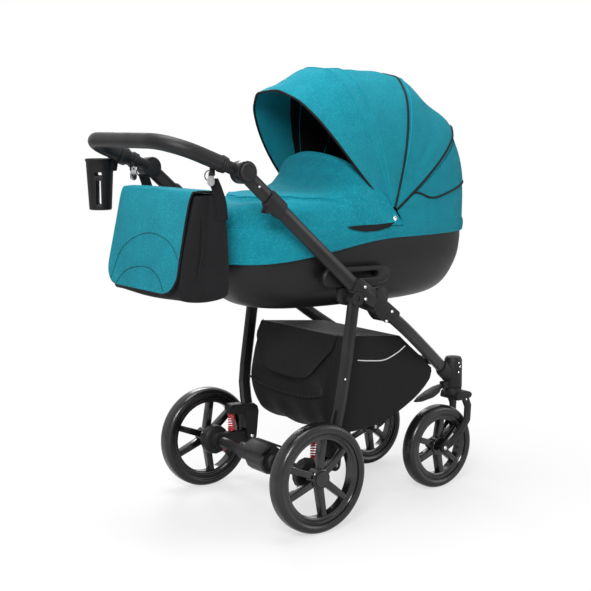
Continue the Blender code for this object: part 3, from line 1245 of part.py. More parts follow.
def add_bow(name, angle, layer, parent, paint):
    """A flat bow of the hood with an eye at each end, one layer inside the next."""
    half = COT_HALF_WIDTH - HOOD_SKIN - 0.0045 - layer * (BOW_THICK + 0.001)
    reach = hood_reach(angle) - HOOD_SKIN - 0.0028
    path = arch_row(HOOD_AXIS, hood_direction(angle), half, reach, 14)
    section = [(BOW_THICK / 2, -BOW_WIDTH / 2), (BOW_THICK / 2, BOW_WIDTH / 2),
               (-BOW_THICK / 2, BOW_WIDTH / 2), (-BOW_THICK / 2, -BOW_WIDTH / 2)]
    d = hood_direction(angle)
    bow = add_solid(name, swept(path, section, across=Vector((d.z, 0, -d.x))), paint["plastic"], parent)
    eyes, bores = [], []
    for side in (-1, 1):
        low, high = side * (half - BOW_THICK / 2), side * (half + BOW_THICK / 2)
        eyes.append(disc_y(HOOD_AXIS, 0.010, low, high, 8))
        bores.append(bore_y(HOOD_AXIS, 0.0040, low - side * 0.01, high + side * 0.01, 8))
    fuse(bow, parent, *eyes)
    cut(bow, parent, *bores)


def add_hood_bracket(name, side, paint):
    """Plate on the cot's rim with the rivet that the bows turn on and the snap outside it."""
    plate_from, plate_to = COT_HALF_WIDTH - 0.0231, COT_HALF_WIDTH - 0.0203
    low, high = sorted((side * plate_from, side * plate_to))
    foot = BAND_TOP - 0.024
    outline = [(HOOD_AXIS.x - 0.026, foot), (HOOD_AXIS.x + 0.026, foot),
               (HOOD_AXIS.x + 0.012, HOOD_AXIS.z + 0.012), (HOOD_AXIS.x - 0.012, HOOD_AXIS.z + 0.012)]
    plate = add_solid(f"hood_bracket_{name}", slab_y(rounded_outline(outline, 0.010), low, high),
                      paint["plastic"], "cot")
    spacer = block((HOOD_AXIS.x - 0.012, side * (plate_from + 0.001), BAND_TOP + GAP),
                   (HOOD_AXIS.x + 0.012, side * (COT_HALF_WIDTH - 0.0015), BAND_TOP + 0.0045))
    rivet = disc_y(HOOD_AXIS, 0.0040, side * (plate_from + 0.001), side * (COT_HALF_WIDTH + 0.001), SMALL_ROUND)
    snap = disc_y(HOOD_AXIS, 0.0075, side * (COT_HALF_WIDTH + GAP), side * (COT_HALF_WIDTH + 0.003), SMALL_ROUND)
    fuse(plate, "cot", spacer, rivet, snap)


def add_hood(paint):
    front = axis_point("hood_front", HOOD_AXIS, "cot")
    middle = axis_point("hood_middle", HOOD_AXIS, "cot")
    edge = 0.0004
    visor = hood_panel(steps_between(VISOR_RIM, FRONT_BOW, 2), edge, lowest=0.024)
    add_solid("hood_visor", visor, paint["teal"], front)
    panel = hood_panel(steps_between(FRONT_BOW, MID_BOW, 3), edge, dip=0.006)
    add_solid("hood_panel_front", panel, paint["teal"], "cot")
    panel = hood_panel(steps_between(MID_BOW, REAR_BOW, 3), edge, dip=0.006)
    add_solid("hood_panel_middle", panel, paint["teal"], "cot")
    add_solid("hood_panel_rear", hood_tail(edge), paint["teal"], "cot")
    add_bow("hood_bow_front", FRONT_BOW, 0, front, paint)
    add_bow("hood_bow_middle", MID_BOW, 1, middle, paint)
    add_bow("hood_bow_rear", REAR_BOW, 2, "cot", paint)


def add_cot_mounting(name, side, paint):
    """Slotted oval plate on the cot's side, which stands on the chassis post."""
    low, high = sorted((side * PLATE_INNER, side * PLATE_OUTER))
    left, right, height = 0.096, 0.281, PLATE_HEIGHT
    plate = add_solid(f"cot_plate_{name}", slab_y(link_outline((left, height), PLATE_RADIUS, (right, height), 0.0240),
                                                  low, high), paint["plastic"], "cot")
    round_edges(plate, 0.004, 1, 50)
    window = slab_y(link_outline((0.161, height + 0.004), 0.0095, (0.251, height + 0.003), 0.0095, 4),
                    low - 0.01, high + 0.01)
    cut(plate, "cot", window)
    feet = [disc_y((x, 0, height), 0.015, side * (SHELL_RIM[1] - 0.030), side * (PLATE_INNER + 0.004), SMALL_ROUND)
            for x in (left, right)]
    fuse(plate, "cot", *feet)
    cut(plate, "cot", stacked_rings(shell_outside(GAP), closed=False))


def add_cot(paint):
    axis_point("cot", (COT_CENTRE_X, 0, COT_BOTTOM), "front_frame")
    add_cot_shell(paint)
    add_cot_band(paint)
    add_mattress(paint)
    add_apron(paint)
    add_hood(paint)
    for name, side in SIDES:
        add_hood_bracket(name, side, paint)
        add_cot_mounting(name, side, paint)


def main():
    clear_scene()
    paint = make_materials()
    axis_point("pram", (0, 0, 0))
    bpy.data.objects["pram"].location.x = -AXLE_TO_MIDDLE
    add_chassis(paint)
    add_cot(paint)


main()
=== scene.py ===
"""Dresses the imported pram: cloth, wheels, padded handle, trim, stage, camera and lamps.

Lengths are metres. +X points the way the pram travels, +Y to its left and +Z up, as in the frame.
Places are given from the point on the ground below the rear axle, as in the part's source.
"""
import json
import math

import bmesh
import bpy
from bpy.props import FloatProperty, FloatVectorProperty, IntProperty, PointerProperty
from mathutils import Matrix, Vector


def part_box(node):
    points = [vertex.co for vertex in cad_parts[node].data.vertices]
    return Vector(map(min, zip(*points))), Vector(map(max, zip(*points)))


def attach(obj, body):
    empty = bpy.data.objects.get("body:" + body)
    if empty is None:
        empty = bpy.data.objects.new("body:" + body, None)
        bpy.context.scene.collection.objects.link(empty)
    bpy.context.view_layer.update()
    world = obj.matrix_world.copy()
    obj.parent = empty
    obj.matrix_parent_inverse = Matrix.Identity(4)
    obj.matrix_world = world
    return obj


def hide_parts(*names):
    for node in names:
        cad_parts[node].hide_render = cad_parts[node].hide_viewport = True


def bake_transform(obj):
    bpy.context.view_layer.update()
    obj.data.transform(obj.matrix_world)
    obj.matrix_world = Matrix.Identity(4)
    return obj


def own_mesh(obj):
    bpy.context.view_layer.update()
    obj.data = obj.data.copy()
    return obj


bl_info = {
    "name": "Pram",
    "version": (1, 0, 0),
    "blender": (4, 5, 0),
    "location": "View3D > Sidebar > Pram",
    "description": "Cloth, wheels, handle, trim and stage of a pram on its packed frame",
    "category": "Object",
}

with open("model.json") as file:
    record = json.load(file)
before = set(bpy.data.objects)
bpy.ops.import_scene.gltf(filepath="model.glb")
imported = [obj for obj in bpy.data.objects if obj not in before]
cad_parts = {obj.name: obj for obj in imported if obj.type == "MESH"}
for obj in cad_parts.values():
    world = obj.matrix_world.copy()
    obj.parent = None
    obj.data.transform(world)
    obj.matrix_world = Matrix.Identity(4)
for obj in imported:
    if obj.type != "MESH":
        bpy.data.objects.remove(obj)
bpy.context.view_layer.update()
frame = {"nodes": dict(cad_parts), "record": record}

SIDES = (("left", 1), ("right", -1))
X = Vector((1, 0, 0))
Y = Vector((0, 1, 0))
Z = Vector((0, 0, 1))


# Places taken from the frame

def middle(node):
    """Centre of a node's box."""
    low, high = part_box(node)
    return (Vector(low) + Vector(high)) / 2


AXLE_X = middle("rear_tyre_left").x


def at(x, y, z):
    """A point measured from the ground below the rear axle."""
    return Vector((x + AXLE_X, y, z))


KNUCKLE = at(-0.205, 0, 0.960)
HANDLE_Y = 0.2215
SIDE_Y = 0.233
HANDLE_SLOPE = math.radians(20.8)
HANDLE_AWAY = Vector((-math.cos(HANDLE_SLOPE), 0, math.sin(HANDLE_SLOPE)))
HANDLE_SQUARE = Vector((math.sin(HANDLE_SLOPE), 0, math.cos(HANDLE_SLOPE)))
HOOD_AXIS = at(0.324, 0, 0.834)
HALF_WIDTH = 0.200
COT_X = 0.273
COT_HALF_LENGTH = 0.437
BAND_TOP = 0.802
VISOR_RIM, FRONT_BOW, REAR_BOW, TAIL_RIM = 128.0, 108.0, 33.0, 5.0


# Sizes and colours that a user would change

class PramSizes(bpy.types.PropertyGroup):
    """Sizes of the parts that the frame leaves open."""
    grip_radius: FloatProperty(name="Grip", description="Radius of the padded bar", default=0.020,
                               subtype="DISTANCE", unit="LENGTH")
    piping_radius: FloatProperty(name="Piping", description="Radius of the corded edges of the hood",
                                 default=0.0033, subtype="DISTANCE", unit="LENGTH")
    cloth: FloatProperty(name="Cloth", description="Thickness of the padded cloth", default=0.0030,
                         subtype="DISTANCE", unit="LENGTH")
    stitch: FloatProperty(name="Stitch", description="Distance between two stitches", default=0.0055,
                          subtype="DISTANCE", unit="LENGTH")
    wheel_steps: IntProperty(name="Wheel steps", description="Facets round a wheel", default=96)
    coils: FloatProperty(name="Coils", description="Turns of each spring", default=9.0)


class PramColours(bpy.types.PropertyGroup):
    """Colours of the cloth and the small bright parts."""
    cloth: FloatVectorProperty(name="Cloth", description="Main tone of the melange cloth", subtype="COLOR",
                               default=(0.010, 0.285, 0.360), size=3)
    cloth_light: FloatVectorProperty(name="Light fibres", description="Palest tone of the melange cloth",
                                     subtype="COLOR", default=(0.050, 0.440, 0.530), size=3)
    cloth_dark: FloatVectorProperty(name="Dark fibres", description="Deepest tone of the melange cloth",
                                    subtype="COLOR", default=(0.003, 0.180, 0.250), size=3)
    signal: FloatVectorProperty(name="Springs", description="Colour of springs and wheel buttons",
                                subtype="COLOR", default=(0.560, 0.010, 0.022), size=3)


def sizes():
    """The sizes as they stand in the scene."""
    return bpy.context.scene.pram_sizes


def colours():
    """The colours as they stand in the scene."""
    return bpy.context.scene.pram_colours


# Shader maths

class Value:
    """A shader socket that Python's arithmetic works on; each step adds its Math node."""

    def __init__(self, nodes, socket):
        self.nodes = nodes
        self.socket = socket

    def maths(self, operation, *given):
        return self.nodes.node("ShaderNodeMath", {"operation": operation}, dict(enumerate(given)))

    def __add__(self, other):
        return self.maths("ADD", self, other)

    def __mul__(self, other):
        return self.maths("MULTIPLY", self, other)

    def wave(self):
        return self.maths("SINE", self)

    def span(self, low, high, to_low=0.0, to_high=1.0):
        """Maps low..high smoothly to to_low..to_high and holds the ends."""
        return self.nodes.node("ShaderNodeMapRange", {"interpolation_type": "SMOOTHSTEP"},
                                {"Value": self, "From Min": low, "From Max": high,
                                 "To Min": to_low, "To Max": to_high})


class Nodes:
    """A node tree while it is made."""

    def __init__(self, tree):
        self.tree = tree

    def node(self, kind, settings=None, inputs=None, output=0):
        """Adds a node: its settings first, then the values or links of its sockets."""
        item = self.tree.nodes.new(kind)
        for key, value in (settings or {}).items():
            setattr(item, key, value)
        for key, value in (inputs or {}).items():
            self.give(item.inputs[key], value)
        return Value(self, item.outputs[output])

    def give(self, socket, value):
        """Links or sets a socket."""
        if isinstance(value, Value):
            self.tree.links.new(value.socket, socket)
        elif socket.type == "RGBA" and len(value) == 3:
            socket.default_value = (*value, 1.0)
        else:
            socket.default_value = value


class Finish(Nodes):
    """One material while it is made: its nodes and its shader."""

    def __init__(self, name, colour, roughness, **constants):
        self.material = bpy.data.materials.new(name)
        self.material.use_nodes = True
        super().__init__(self.material.node_tree)
        self.shader = self.tree.nodes["Principled BSDF"]
        self.set("Base Color", colour)
        self.set("Roughness", roughness)
        for key, value in constants.items():
            self.set(key.replace("_", " ").title().replace("Ior", "IOR"), value)

    def set(self, name, value):
        """Gives the shader one of its values."""
        self.give(self.shader.inputs[name], value)

    def place(self, stretch=(1, 1, 1)):
        """The point on the object, in metres."""
        point = self.node("ShaderNodeTexCoord", output="Object")
        return self.node("ShaderNodeMapping", inputs={"Vector": point, "Scale": stretch})

    def weave_place(self, stretch=(1, 1, 1)):
        """The point on the flat cloth, in metres along its threads."""
        point = self.node("ShaderNodeUVMap", {"uv_map": "weave"})
        return self.node("ShaderNodeMapping", inputs={"Vector": point, "Scale": stretch})

    def noise(self, scale, detail=2.0, where=None, roughness=0.5):
        """Soft mottling, its scale in patches a metre."""
        return self.node("ShaderNodeTexNoise", inputs={
            "Vector": where or self.place(), "Scale": scale, "Detail": detail, "Roughness": roughness})

    def pebbles(self, scale):
        """Rounded grain, its scale in grains a metre."""
        return self.node("ShaderNodeTexVoronoi", {"feature": "SMOOTH_F1"},
                         {"Vector": self.place(), "Scale": scale, "Smoothness": 0.4})

    def part(self, vector, axis):
        """One number of a vector."""
        return self.node("ShaderNodeSeparateXYZ", inputs={"Vector": vector}, output="XYZ".index(axis))

    def blend(self, share, first, second):
        """A colour between two colours."""
        return self.node("ShaderNodeMix", {"data_type": "RGBA"}, {0: share, 6: first, 7: second}, 2)

    def surface(self, share, first, second, roughness, height, distance):
        """A colour between two tones, the roughness, and relief of a depth in metres."""
        self.set("Base Color", self.blend(share, first, second))
        self.set("Roughness", roughness)
        self.set("Normal", self.node("ShaderNodeBump", inputs={
            "Height": height, "Distance": distance, "Strength": 1.0}))
        return self

    def weave(self, pitch, where):
        """Height of a plain weave whose threads lie a pitch apart."""
        turn = math.tau / pitch
        return (self.part(where, "X") * turn).wave() * (self.part(where, "Y") * turn).wave()


# Finishes, each named for what it covers

def ink(level):
    """A near-black, a trace cooler than grey, in thousandths."""
    return level / 1000, level / 1000, (level + 1) / 1000


def coated_tube():
    """Satin black powder coat on aluminium tube."""
    finish = Finish("coated_tube", ink(10), 0.33, coat_roughness=0.25, specular_ior_level=0.22,
                    coat_ior=1.25)
    fine, broad = finish.noise(900, 1), finish.noise(9, 3)
    finish.set("Coat Weight", broad.span(0.35, 0.75, 0.15, 0.45))
    return finish.surface(broad, ink(7), ink(14), broad * 0.14 + fine * 0.06 + 0.24, fine, 0.00006)


def moulded_plastic():
    """Black moulded plastic with a fine spark-eroded grain."""
    finish = Finish("moulded_plastic", ink(9), 0.45, specular_ior_level=0.22)
    grain, broad = finish.pebbles(1400), finish.noise(14, 3)
    return finish.surface(broad, ink(6), ink(13), broad * 0.16 + grain * 0.10 + 0.34, grain, 0.00008)


def tub_shell():
    """Satin black shell of the carrycot, a little uneven as large mouldings are."""
    finish = Finish("tub_shell", ink(8), 0.42, specular_ior_level=0.22)
    swell, fine = finish.noise(7, 2), finish.noise(700, 1)
    return finish.surface(swell, ink(6), ink(12), swell * 0.18 + 0.30, swell * 0.9 + fine * 0.03, 0.0018)


def bar_leather():
    """Black faux leather of the padded bar."""
    finish = Finish("bar_leather", ink(8), 0.40, specular_ior_level=0.25)
    pebble, crease, broad = finish.pebbles(620), finish.noise(90, 3), finish.noise(11, 2)
    return finish.surface(pebble, ink(5), ink(14), broad * 0.14 + pebble * 0.22 + 0.26,
                          pebble * 0.8 + crease * 0.6, 0.00035)


def tyre_rubber():
    """Smooth black foam-filled tyre, slightly shiny."""
    finish = Finish("tyre_rubber", ink(7), 0.30, specular_ior_level=0.42)
    fine, broad = finish.noise(500, 2), finish.noise(16, 3)
    return finish.surface(broad, ink(5), ink(10), broad * 0.12 + fine * 0.04 + 0.17,
                          fine + broad * 2.0, 0.00012)


def glossy_rim():
    """Glossy black wheel moulding."""
    finish = Finish("glossy_rim", ink(6), 0.20, coat_roughness=0.06, specular_ior_level=0.42,
                    coat_ior=1.25)
    broad, fine = finish.noise(22, 3), finish.noise(800, 1)
    finish.set("Coat Weight", broad.span(0.3, 0.8, 0.35, 0.65))
    return finish.surface(broad, ink(4), ink(9), broad * 0.10 + 0.11, fine, 0.00003)


def melange_cloth():
    """Teal cloth of mixed light and dark fibres in a plain weave."""
    tone = colours()
    finish = Finish("melange_cloth", tone.cloth, 0.85, sheen_weight=0.08, sheen_roughness=0.40,
                    sheen_tint=(0.30, 0.90, 1.0, 1.0), specular_ior_level=0.12)
    weft = finish.noise(330, 3, finish.weave_place((0.30, 1.0, 1)), 0.6)
    warp = finish.noise(330, 3, finish.weave_place((1.0, 0.30, 1)), 0.6)
    clouds = finish.noise(26, 4)
    threads = finish.weave(0.0016, finish.weave_place())
    mixed = (weft * 0.55 + warp * 0.45).span(0.36, 0.68)
    body = finish.blend(mixed * 0.75 + clouds.span(0.30, 0.70, 0.0, 0.25), tone.cloth_dark, tone.cloth)
    flecks = (weft.span(0.56, 0.74) + warp.span(0.60, 0.78)) * 0.42
    return finish.surface(flecks, body, tone.cloth_light, mixed * 0.12 + 0.78,
                          threads * 0.35 + weft * 0.5 + warp * 0.5 + clouds * 1.6, 0.0007)


def woven_black():
    """Black woven nylon of the bag, the basket and the hood's lining."""
    finish = Finish("woven_black", ink(9), 0.72, sheen_weight=0.06, sheen_roughness=0.4,
                    specular_ior_level=0.10)
    slub, folds = finish.noise(260, 2, finish.weave_place((0.4, 1, 1))), finish.noise(15, 4)
    return finish.surface(slub * 0.6 + folds * 0.4, ink(5), ink(14), folds * 0.16 + slub * 0.10 + 0.55,
                          slub * 0.5 + folds * 2.6, 0.0009)


def black_trim():
    """Black corded edge and webbing."""
    finish = Finish("black_trim", ink(6), 0.60, specular_ior_level=0.12)
    cord, broad = finish.noise(420, 2), finish.noise(30, 2)
    return finish.surface(cord, ink(4), ink(11), broad * 0.2 + 0.48, cord, 0.0004)


def white_trim():
    """Reflective pale edge sewn into the basket's seam."""
    finish = Finish("white_trim", (0.60, 0.60, 0.60), 0.45, sheen_weight=0.2)
    cord = finish.noise(420, 2)
    return finish.surface(cord, (0.48, 0.48, 0.49), (0.74, 0.74, 0.74), cord * 0.25 + 0.35, cord, 0.0003)


def bright_steel():
    """Bright plated steel of screws, snaps and clips."""
    finish = Finish("bright_steel", (0.62, 0.62, 0.63), 0.24, metallic=1.0)
    brushed = finish.noise(600, 2, finish.place((1, 0.2, 1)))
    return finish.surface(brushed, (0.50, 0.50, 0.51), (0.72, 0.72, 0.73), brushed * 0.22 + 0.14,
                          brushed, 0.00003)


def red_enamel():
    """Glossy red enamel of the springs and the wheel buttons."""
    finish = Finish("red_enamel", colours().signal, 0.30, coat_roughness=0.12)
    broad, fine = finish.noise(60, 2), finish.noise(700, 1)
    finish.set("Coat Weight", broad * 0.3 + 0.2)
    return finish.surface(broad, (0.42, 0.006, 0.014), (0.66, 0.018, 0.030), broad * 0.16 + 0.22,
                          fine, 0.00004)


def cotton_cover():
    """White cotton cover of the mattress."""
    finish = Finish("cotton_cover", (0.70, 0.70, 0.69), 0.88, sheen_weight=0.3)
    tuft, fine = finish.noise(55, 3), finish.noise(600, 2)
    return finish.surface(tuft, (0.62, 0.62, 0.61), (0.76, 0.76, 0.75), fine * 0.1 + 0.82,
                          tuft * 2.0 + fine * 0.3, 0.0012)


PAINTS = {}
SLOT_PAINT = {"frame": "coated_tube", "plastic": "moulded_plastic", "steel": "bright_steel",
              "red": "red_enamel", "shell": "tub_shell", "leather": "bar_leather",
              "tyre": "tyre_rubber", "rim": "glossy_rim", "teal": "melange_cloth",
              "black_cloth": "woven_black", "white_cloth": "cotton_cover"}


def make_paints():
    """Makes every finish once, kept by its name."""
    for recipe in (coated_tube, moulded_plastic, tub_shell, bar_leather, tyre_rubber, glossy_rim,
                   melange_cloth, woven_black, black_trim, white_trim, bright_steel, red_enamel,
                   cotton_cover):
        PAINTS[recipe.__name__] = recipe().material


# Modelling helpers

def aim(angle):
    """A direction along the pram's side, turned up from the way it travels by degrees."""
    turn = math.radians(angle)
    return Vector((math.cos(turn), 0, math.sin(turn)))


def signed(value, power):
    """A power that keeps the sign."""
    return math.copysign(abs(value) ** power, value)


def bell(x, centre, width):
    """1 at the centre, falling to nothing over a few widths."""
    return math.exp(-((x - centre) / width) ** 2)


def soft_step(x):
    """Rises from 0 to 1 about x = 0."""
    return 1 / (1 + math.exp(-min(max(x, -40), 40)))


def spread(steps):
    """Shares from -1 to 1 in even steps."""
    return [2 * k / steps - 1 for k in range(steps + 1)]


def smooth(knots, steps=8):
    """Points of a smooth curve through the knots."""
    points = []
    for i in range(len(knots) - 1):
        p0, p1, p2, p3 = knots[max(i - 1, 0)], knots[i], knots[i + 1], knots[min(i + 2, len(knots) - 1)]
        for k in range(steps):
            t = k / steps
            points.append(0.5 * (2 * p1 + (p2 - p0) * t + (2 * p0 - 5 * p1 + 4 * p2 - p3) * t * t
                                 + (3 * p1 - p0 - 3 * p2 + p3) * t ** 3))
    return points + [knots[-1].copy()]


def ease(knots, x):
    """A smooth value between (place, value) knots."""
    if x <= knots[0][0]:
        return knots[0][1]
    for (a, low), (b, high) in zip(knots, knots[1:]):
        if x <= b:
            t = (x - a) / (b - a)
            return low + (high - low) * t * t * (3 - 2 * t)
    return knots[-1][1]


def deselect():
    """Leaves nothing selected."""
    bpy.ops.object.select_all(action="DESELECT")


def take(piece):
    """Makes one piece the selected and active object."""
    deselect()
    piece.select_set(True)
    bpy.context.view_layer.objects.active = piece


def edit_all():
    """Enters edit mode with everything selected."""
    bpy.ops.object.mode_set(mode="EDIT")
    bpy.ops.mesh.select_all(action="SELECT")


def close_up(merge=0.00001):
    """Merges doubles, drops loose bits and turns all faces outward, then leaves edit mode."""
    bpy.ops.mesh.select_all(action="SELECT")
    bpy.ops.mesh.remove_doubles(threshold=merge)
    bpy.ops.mesh.delete_loose()
    bpy.ops.mesh.select_all(action="SELECT")
    bpy.ops.mesh.normals_make_consistent(inside=False)
    bpy.ops.object.mode_set(mode="OBJECT")


def added(name, data):
    """A new object in the scene."""
    item = bpy.data.objects.new(name, data)
    bpy.context.collection.objects.link(item)
    return item


def built(name, shape):
    """A piece made from edited geometry, which is freed."""
    mesh = bpy.data.meshes.new(name)
    shape.to_mesh(mesh)
    shape.free()
    return added(name, mesh)


def loop(name, points, fill="NOTHING"):
    """A circle whose points are moved onto a drawn outline."""
    deselect()
    bpy.ops.mesh.primitive_circle_add(vertices=len(points), fill_type=fill, location=(0, 0, 0))
    piece = bpy.context.object
    piece.name = piece.data.name = name
    for vertex, point in zip(piece.data.vertices, points):
        vertex.co = point
    return piece


def spun(name, profile, centre, axis, steps=48, hand=1):
    """A closed profile of (radius, height) points turned about an axis; hand -1 turns it over."""
    start = axis.orthogonal().normalized()
    piece = loop(name, [centre + start * radius + axis * (height * hand) for radius, height in profile])
    edit_all()
    bpy.ops.mesh.spin(steps=steps, angle=math.tau, center=centre, axis=axis)
    close_up()
    return piece


def plate(name, outline, depth, round_over=0.0, segments=2):
    """An outline of points extruded along a vector, its edges rounded over."""
    piece = loop(name, outline, "NGON")
    edit_all()
    bpy.ops.mesh.extrude_region_move(TRANSFORM_OT_translate={"value": depth})
    close_up()
    if round_over:
        bevel(piece, round_over, segments)
    return piece


def bevel(piece, width, segments=2, angle=38):
    """Rounds over the edges that turn more than an angle in degrees."""
    step = piece.modifiers.new("rounded", "BEVEL")
    step.width, step.segments = width, segments
    step.limit_method, step.angle_limit = "ANGLE", math.radians(angle)
    apply_steps(piece)


def apply_steps(piece):
    """Applies a piece's modifiers."""
    take(piece)
    for step in list(piece.modifiers):
        bpy.ops.object.modifier_apply(modifier=step.name)


def carve(piece, tool):
    """Cuts a piece with another one and removes the tool."""
    step = piece.modifiers.new("carved", "BOOLEAN")
    step.operation, step.solver, step.object = "DIFFERENCE", "EXACT", tool
    apply_steps(piece)
    bpy.data.objects.remove(tool, do_unlink=True)


def cord_along(name, points, radius, around=3):
    """A round cord through points, as a mesh."""
    curve = bpy.data.curves.new(name, "CURVE")
    curve.dimensions, curve.bevel_depth, curve.bevel_resolution = "3D", radius, around
    curve.use_fill_caps = True
    line = curve.splines.new("POLY")
    line.points.add(len(points) - 1)
    for knot, point in zip(line.points, points):
        knot.co = (*point, 1)
    piece = added(name, curve)
    take(piece)
    bpy.ops.object.convert(target="MESH")
    edit_all()
    close_up()
    return piece


def joined(name, parts):
    """Several parts as one piece."""
    deselect()
    for part in parts:
        part.select_set(True)
    bpy.context.view_layer.objects.active = parts[0]
    bpy.ops.object.join()
    parts[0].name = parts[0].data.name = name
    return parts[0]


def dress(piece, body, slot, nodes=(), angle=35, paint=None):
    """Gives a piece the finish of its material slot or the paint named, smooth shading and its body, and
    hides the CAD nodes that it stands for.
    """
    if not piece.data.materials:
        piece.data.materials.append(PAINTS[paint or SLOT_PAINT[slot]])
    take(piece)
    bpy.ops.object.shade_smooth_by_angle(angle=math.radians(angle))
    if body:
        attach(piece, body)
    if nodes:
        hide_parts(*nodes)
    return piece


def piping(name, points, radius, body):
    """A black corded edge along points."""
    return dress(cord_along(name, points, radius), body, "black_cloth", paint="black_trim")


def ridge(name, points, radius, body):
    """A raised seam of the teal cloth along points."""
    return dress(cord_along(name, points, radius), body, "teal")


def refined(node, body, slot="plastic"):
    """A CAD node merged into whole faces again, with its edges rounded over as a moulding's are."""
    source = frame["nodes"][node]
    piece = source.copy()
    piece.data = source.data.copy()
    piece.data.materials.clear()
    piece.parent = None
    piece.name = piece.data.name = f"{node}_fine"
    bpy.context.collection.objects.link(piece)
    take(piece)
    edit_all()
    bpy.ops.mesh.remove_doubles(threshold=0.00002)
    bpy.ops.mesh.dissolve_limited(angle_limit=math.radians(1.5))
    bpy.ops.object.mode_set(mode="OBJECT")
    bevel(piece, 0.0016, 2, 42)
    return dress(piece, body, slot, [node], 42)


def screw(name, centre, axis, radius):
    """A pan-head screw with a hexagon socket."""
    head = spun(name, [(0, 0), (radius, 0), (radius, radius * 0.25), (radius * 0.72, radius * 0.55),
                       (0, radius * 0.62)], centre, axis, 20)
    side = axis.orthogonal().normalized()
    up = axis.cross(side)
    corners = [centre + axis * radius * 0.30 + (side * math.cos(k * math.tau / 6)
                                                 + up * math.sin(k * math.tau / 6)) * radius * 0.42
               for k in range(6)]
    carve(head, plate(name + "_socket", corners, axis * radius))
    return head


def screws(name, body, places):
    """Screws of one body as one piece, each at a (point, axis, radius)."""
    parts = [screw(f"{name}_{number}", *place) for number, place in enumerate(places)]
    dress(joined(name, parts), body, "steel")


def cloth_grid(name, rows, thick, closed=False, lining=None):
    """A sheet through rows of points, its weave's coordinates in metres, thickened inward.

    Returns the piece and its flat size: (width, length, area)."""
    shape = bmesh.new()
    weave = shape.loops.layers.uv.new("weave")
    grid = [[shape.verts.new(p) for p in row] for row in rows]
    columns = len(rows[0])
    gaps = columns if closed else columns - 1
    down = run_along([row[columns // 2] for row in rows])
    across = []
    for row in rows:
        line = run_along(row + row[:1] if closed else row)
        across.append([value - line[-1] / 2 for value in line])
    for i in range(len(rows) - 1):
        for k in range(gaps):
            m = (k + 1) % columns
            corners = ((i, k, k), (i + 1, k, k), (i + 1, m, k + 1), (i, m, k + 1))
            face = shape.faces.new([grid[r][c] for r, c, _ in corners])
            for corner, (r, _, c) in zip(face.loops, corners):
                corner[weave].uv = (across[r][c], down[r])
    area = sum(face.calc_area() for face in shape.faces)
    piece = built(name, shape)
    wall = piece.modifiers.new("wall", "SOLIDIFY")
    wall.thickness, wall.offset, wall.use_even_offset = thick, -1.0, False
    if lining:
        piece.data.materials.append(PAINTS["melange_cloth"])
        piece.data.materials.append(PAINTS[lining])
        wall.material_offset, wall.material_offset_rim = 1, 0
    apply_steps(piece)
    width = max(row[-1] - row[0] for row in across)
    return piece, (width, down[-1], area)


def run_along(points):
    """How far along a line each of its points lies."""
    run = [0.0]
    for a, b in zip(points, points[1:]):
        run.append(run[-1] + (b - a).length)
    return run


SEAM_SHARE = 1.01


def lay_sheet(flat):
    """Works out the size that a piece was cut to, with a little let in at its seams, and keeps nothing."""
    width, length, area = flat
    width, length = width * SEAM_SHARE, max(length * SEAM_SHARE, area / width)
    min(area, width * length)


def stitches(name, points, normals, length, radius):
    """A row of short thread loops along a line, lying on the cloth."""
    pitch = sizes().stitch
    walk, since = [], 0.0
    for a, b, out in zip(points, points[1:], normals):
        reach = (b - a).length
        along = (b - a).normalized()
        while since < reach:
            walk.append((a + along * since, along, out))
            since += pitch
        since -= reach
    shape = bmesh.new()
    for place, along, out in walk:
        side = along.cross(out).normalized()
        ends = []
        for share, lift in ((-0.5, 0.0), (-0.25, 1.0), (0.25, 1.0), (0.5, 0.0)):
            spot = place + along * length * share + out * radius * (lift * 1.4 - 0.4)
            ends.append([shape.verts.new(spot + side * radius * s + out * radius * o)
                         for s, o in ((-1, 0), (0, 1), (1, 0), (0, -1))])
        for first, second in zip(ends, ends[1:]):
            for k in range(4):
                m = (k + 1) % 4
                shape.faces.new((first[k], first[m], second[m], second[k]))
        shape.faces.new(ends[0][::-1])
        shape.faces.new(ends[-1])
    bmesh.ops.recalc_face_normals(shape, faces=shape.faces[:])
    return built(name, shape)


# Wheels

RIM_DEPTH = 0.0262
BARREL_DEPTH = 0.017
HUB = ((0.0065, -0.0150), (0.0265, -0.0150), (0.0280, -0.0135), (0.0280, 0.0135), (0.0265, 0.0150),
       (0.0065, 0.0150))
HUB_CAP = ((0, 0.0152), (0.0262, 0.0152), (0.0262, 0.0178), (0.0238, 0.0188), (0.0232, 0.0180),
           (0.0222, 0.0180), (0.0212, 0.0205), (0.0120, 0.0213), (0, 0.0214))


def both_faces(side):
    """A wheel's section from the points of one half of it."""
    return side + [(r, -h) for r, h in reversed(side)]


def tyre_section(radius, half):
    """Smooth crown, a step ring on each side and the seat on the rim."""
    seat, crown = radius - 0.026, 0.0125
    side = [(seat, half * 0.74), (seat + 0.001, half * 0.90), (seat + 0.006, half * 0.94),
            (seat + 0.007, half * 0.985), (seat + crown, half)]
    for degrees in range(15, 91, 15):
        turn = math.radians(degrees)
        side.append((seat + crown + 0.0135 * math.sin(turn), half * (0.30 + 0.70 * math.cos(turn))))
    return both_faces(side)


def rim_section(radius, half):
    """Barrel with two rings on each face; each knot is how deep it lies and its share of the width."""
    knots = ((BARREL_DEPTH, 0.50), (0.0155, 0.56), (0.010, 0.60), (0.0085, 0.70), (0.005, 0.72),
             (0.0035, 0.80), (0, 0.78))
    return both_faces([(radius - RIM_DEPTH - deep, half * share) for deep, share in knots])


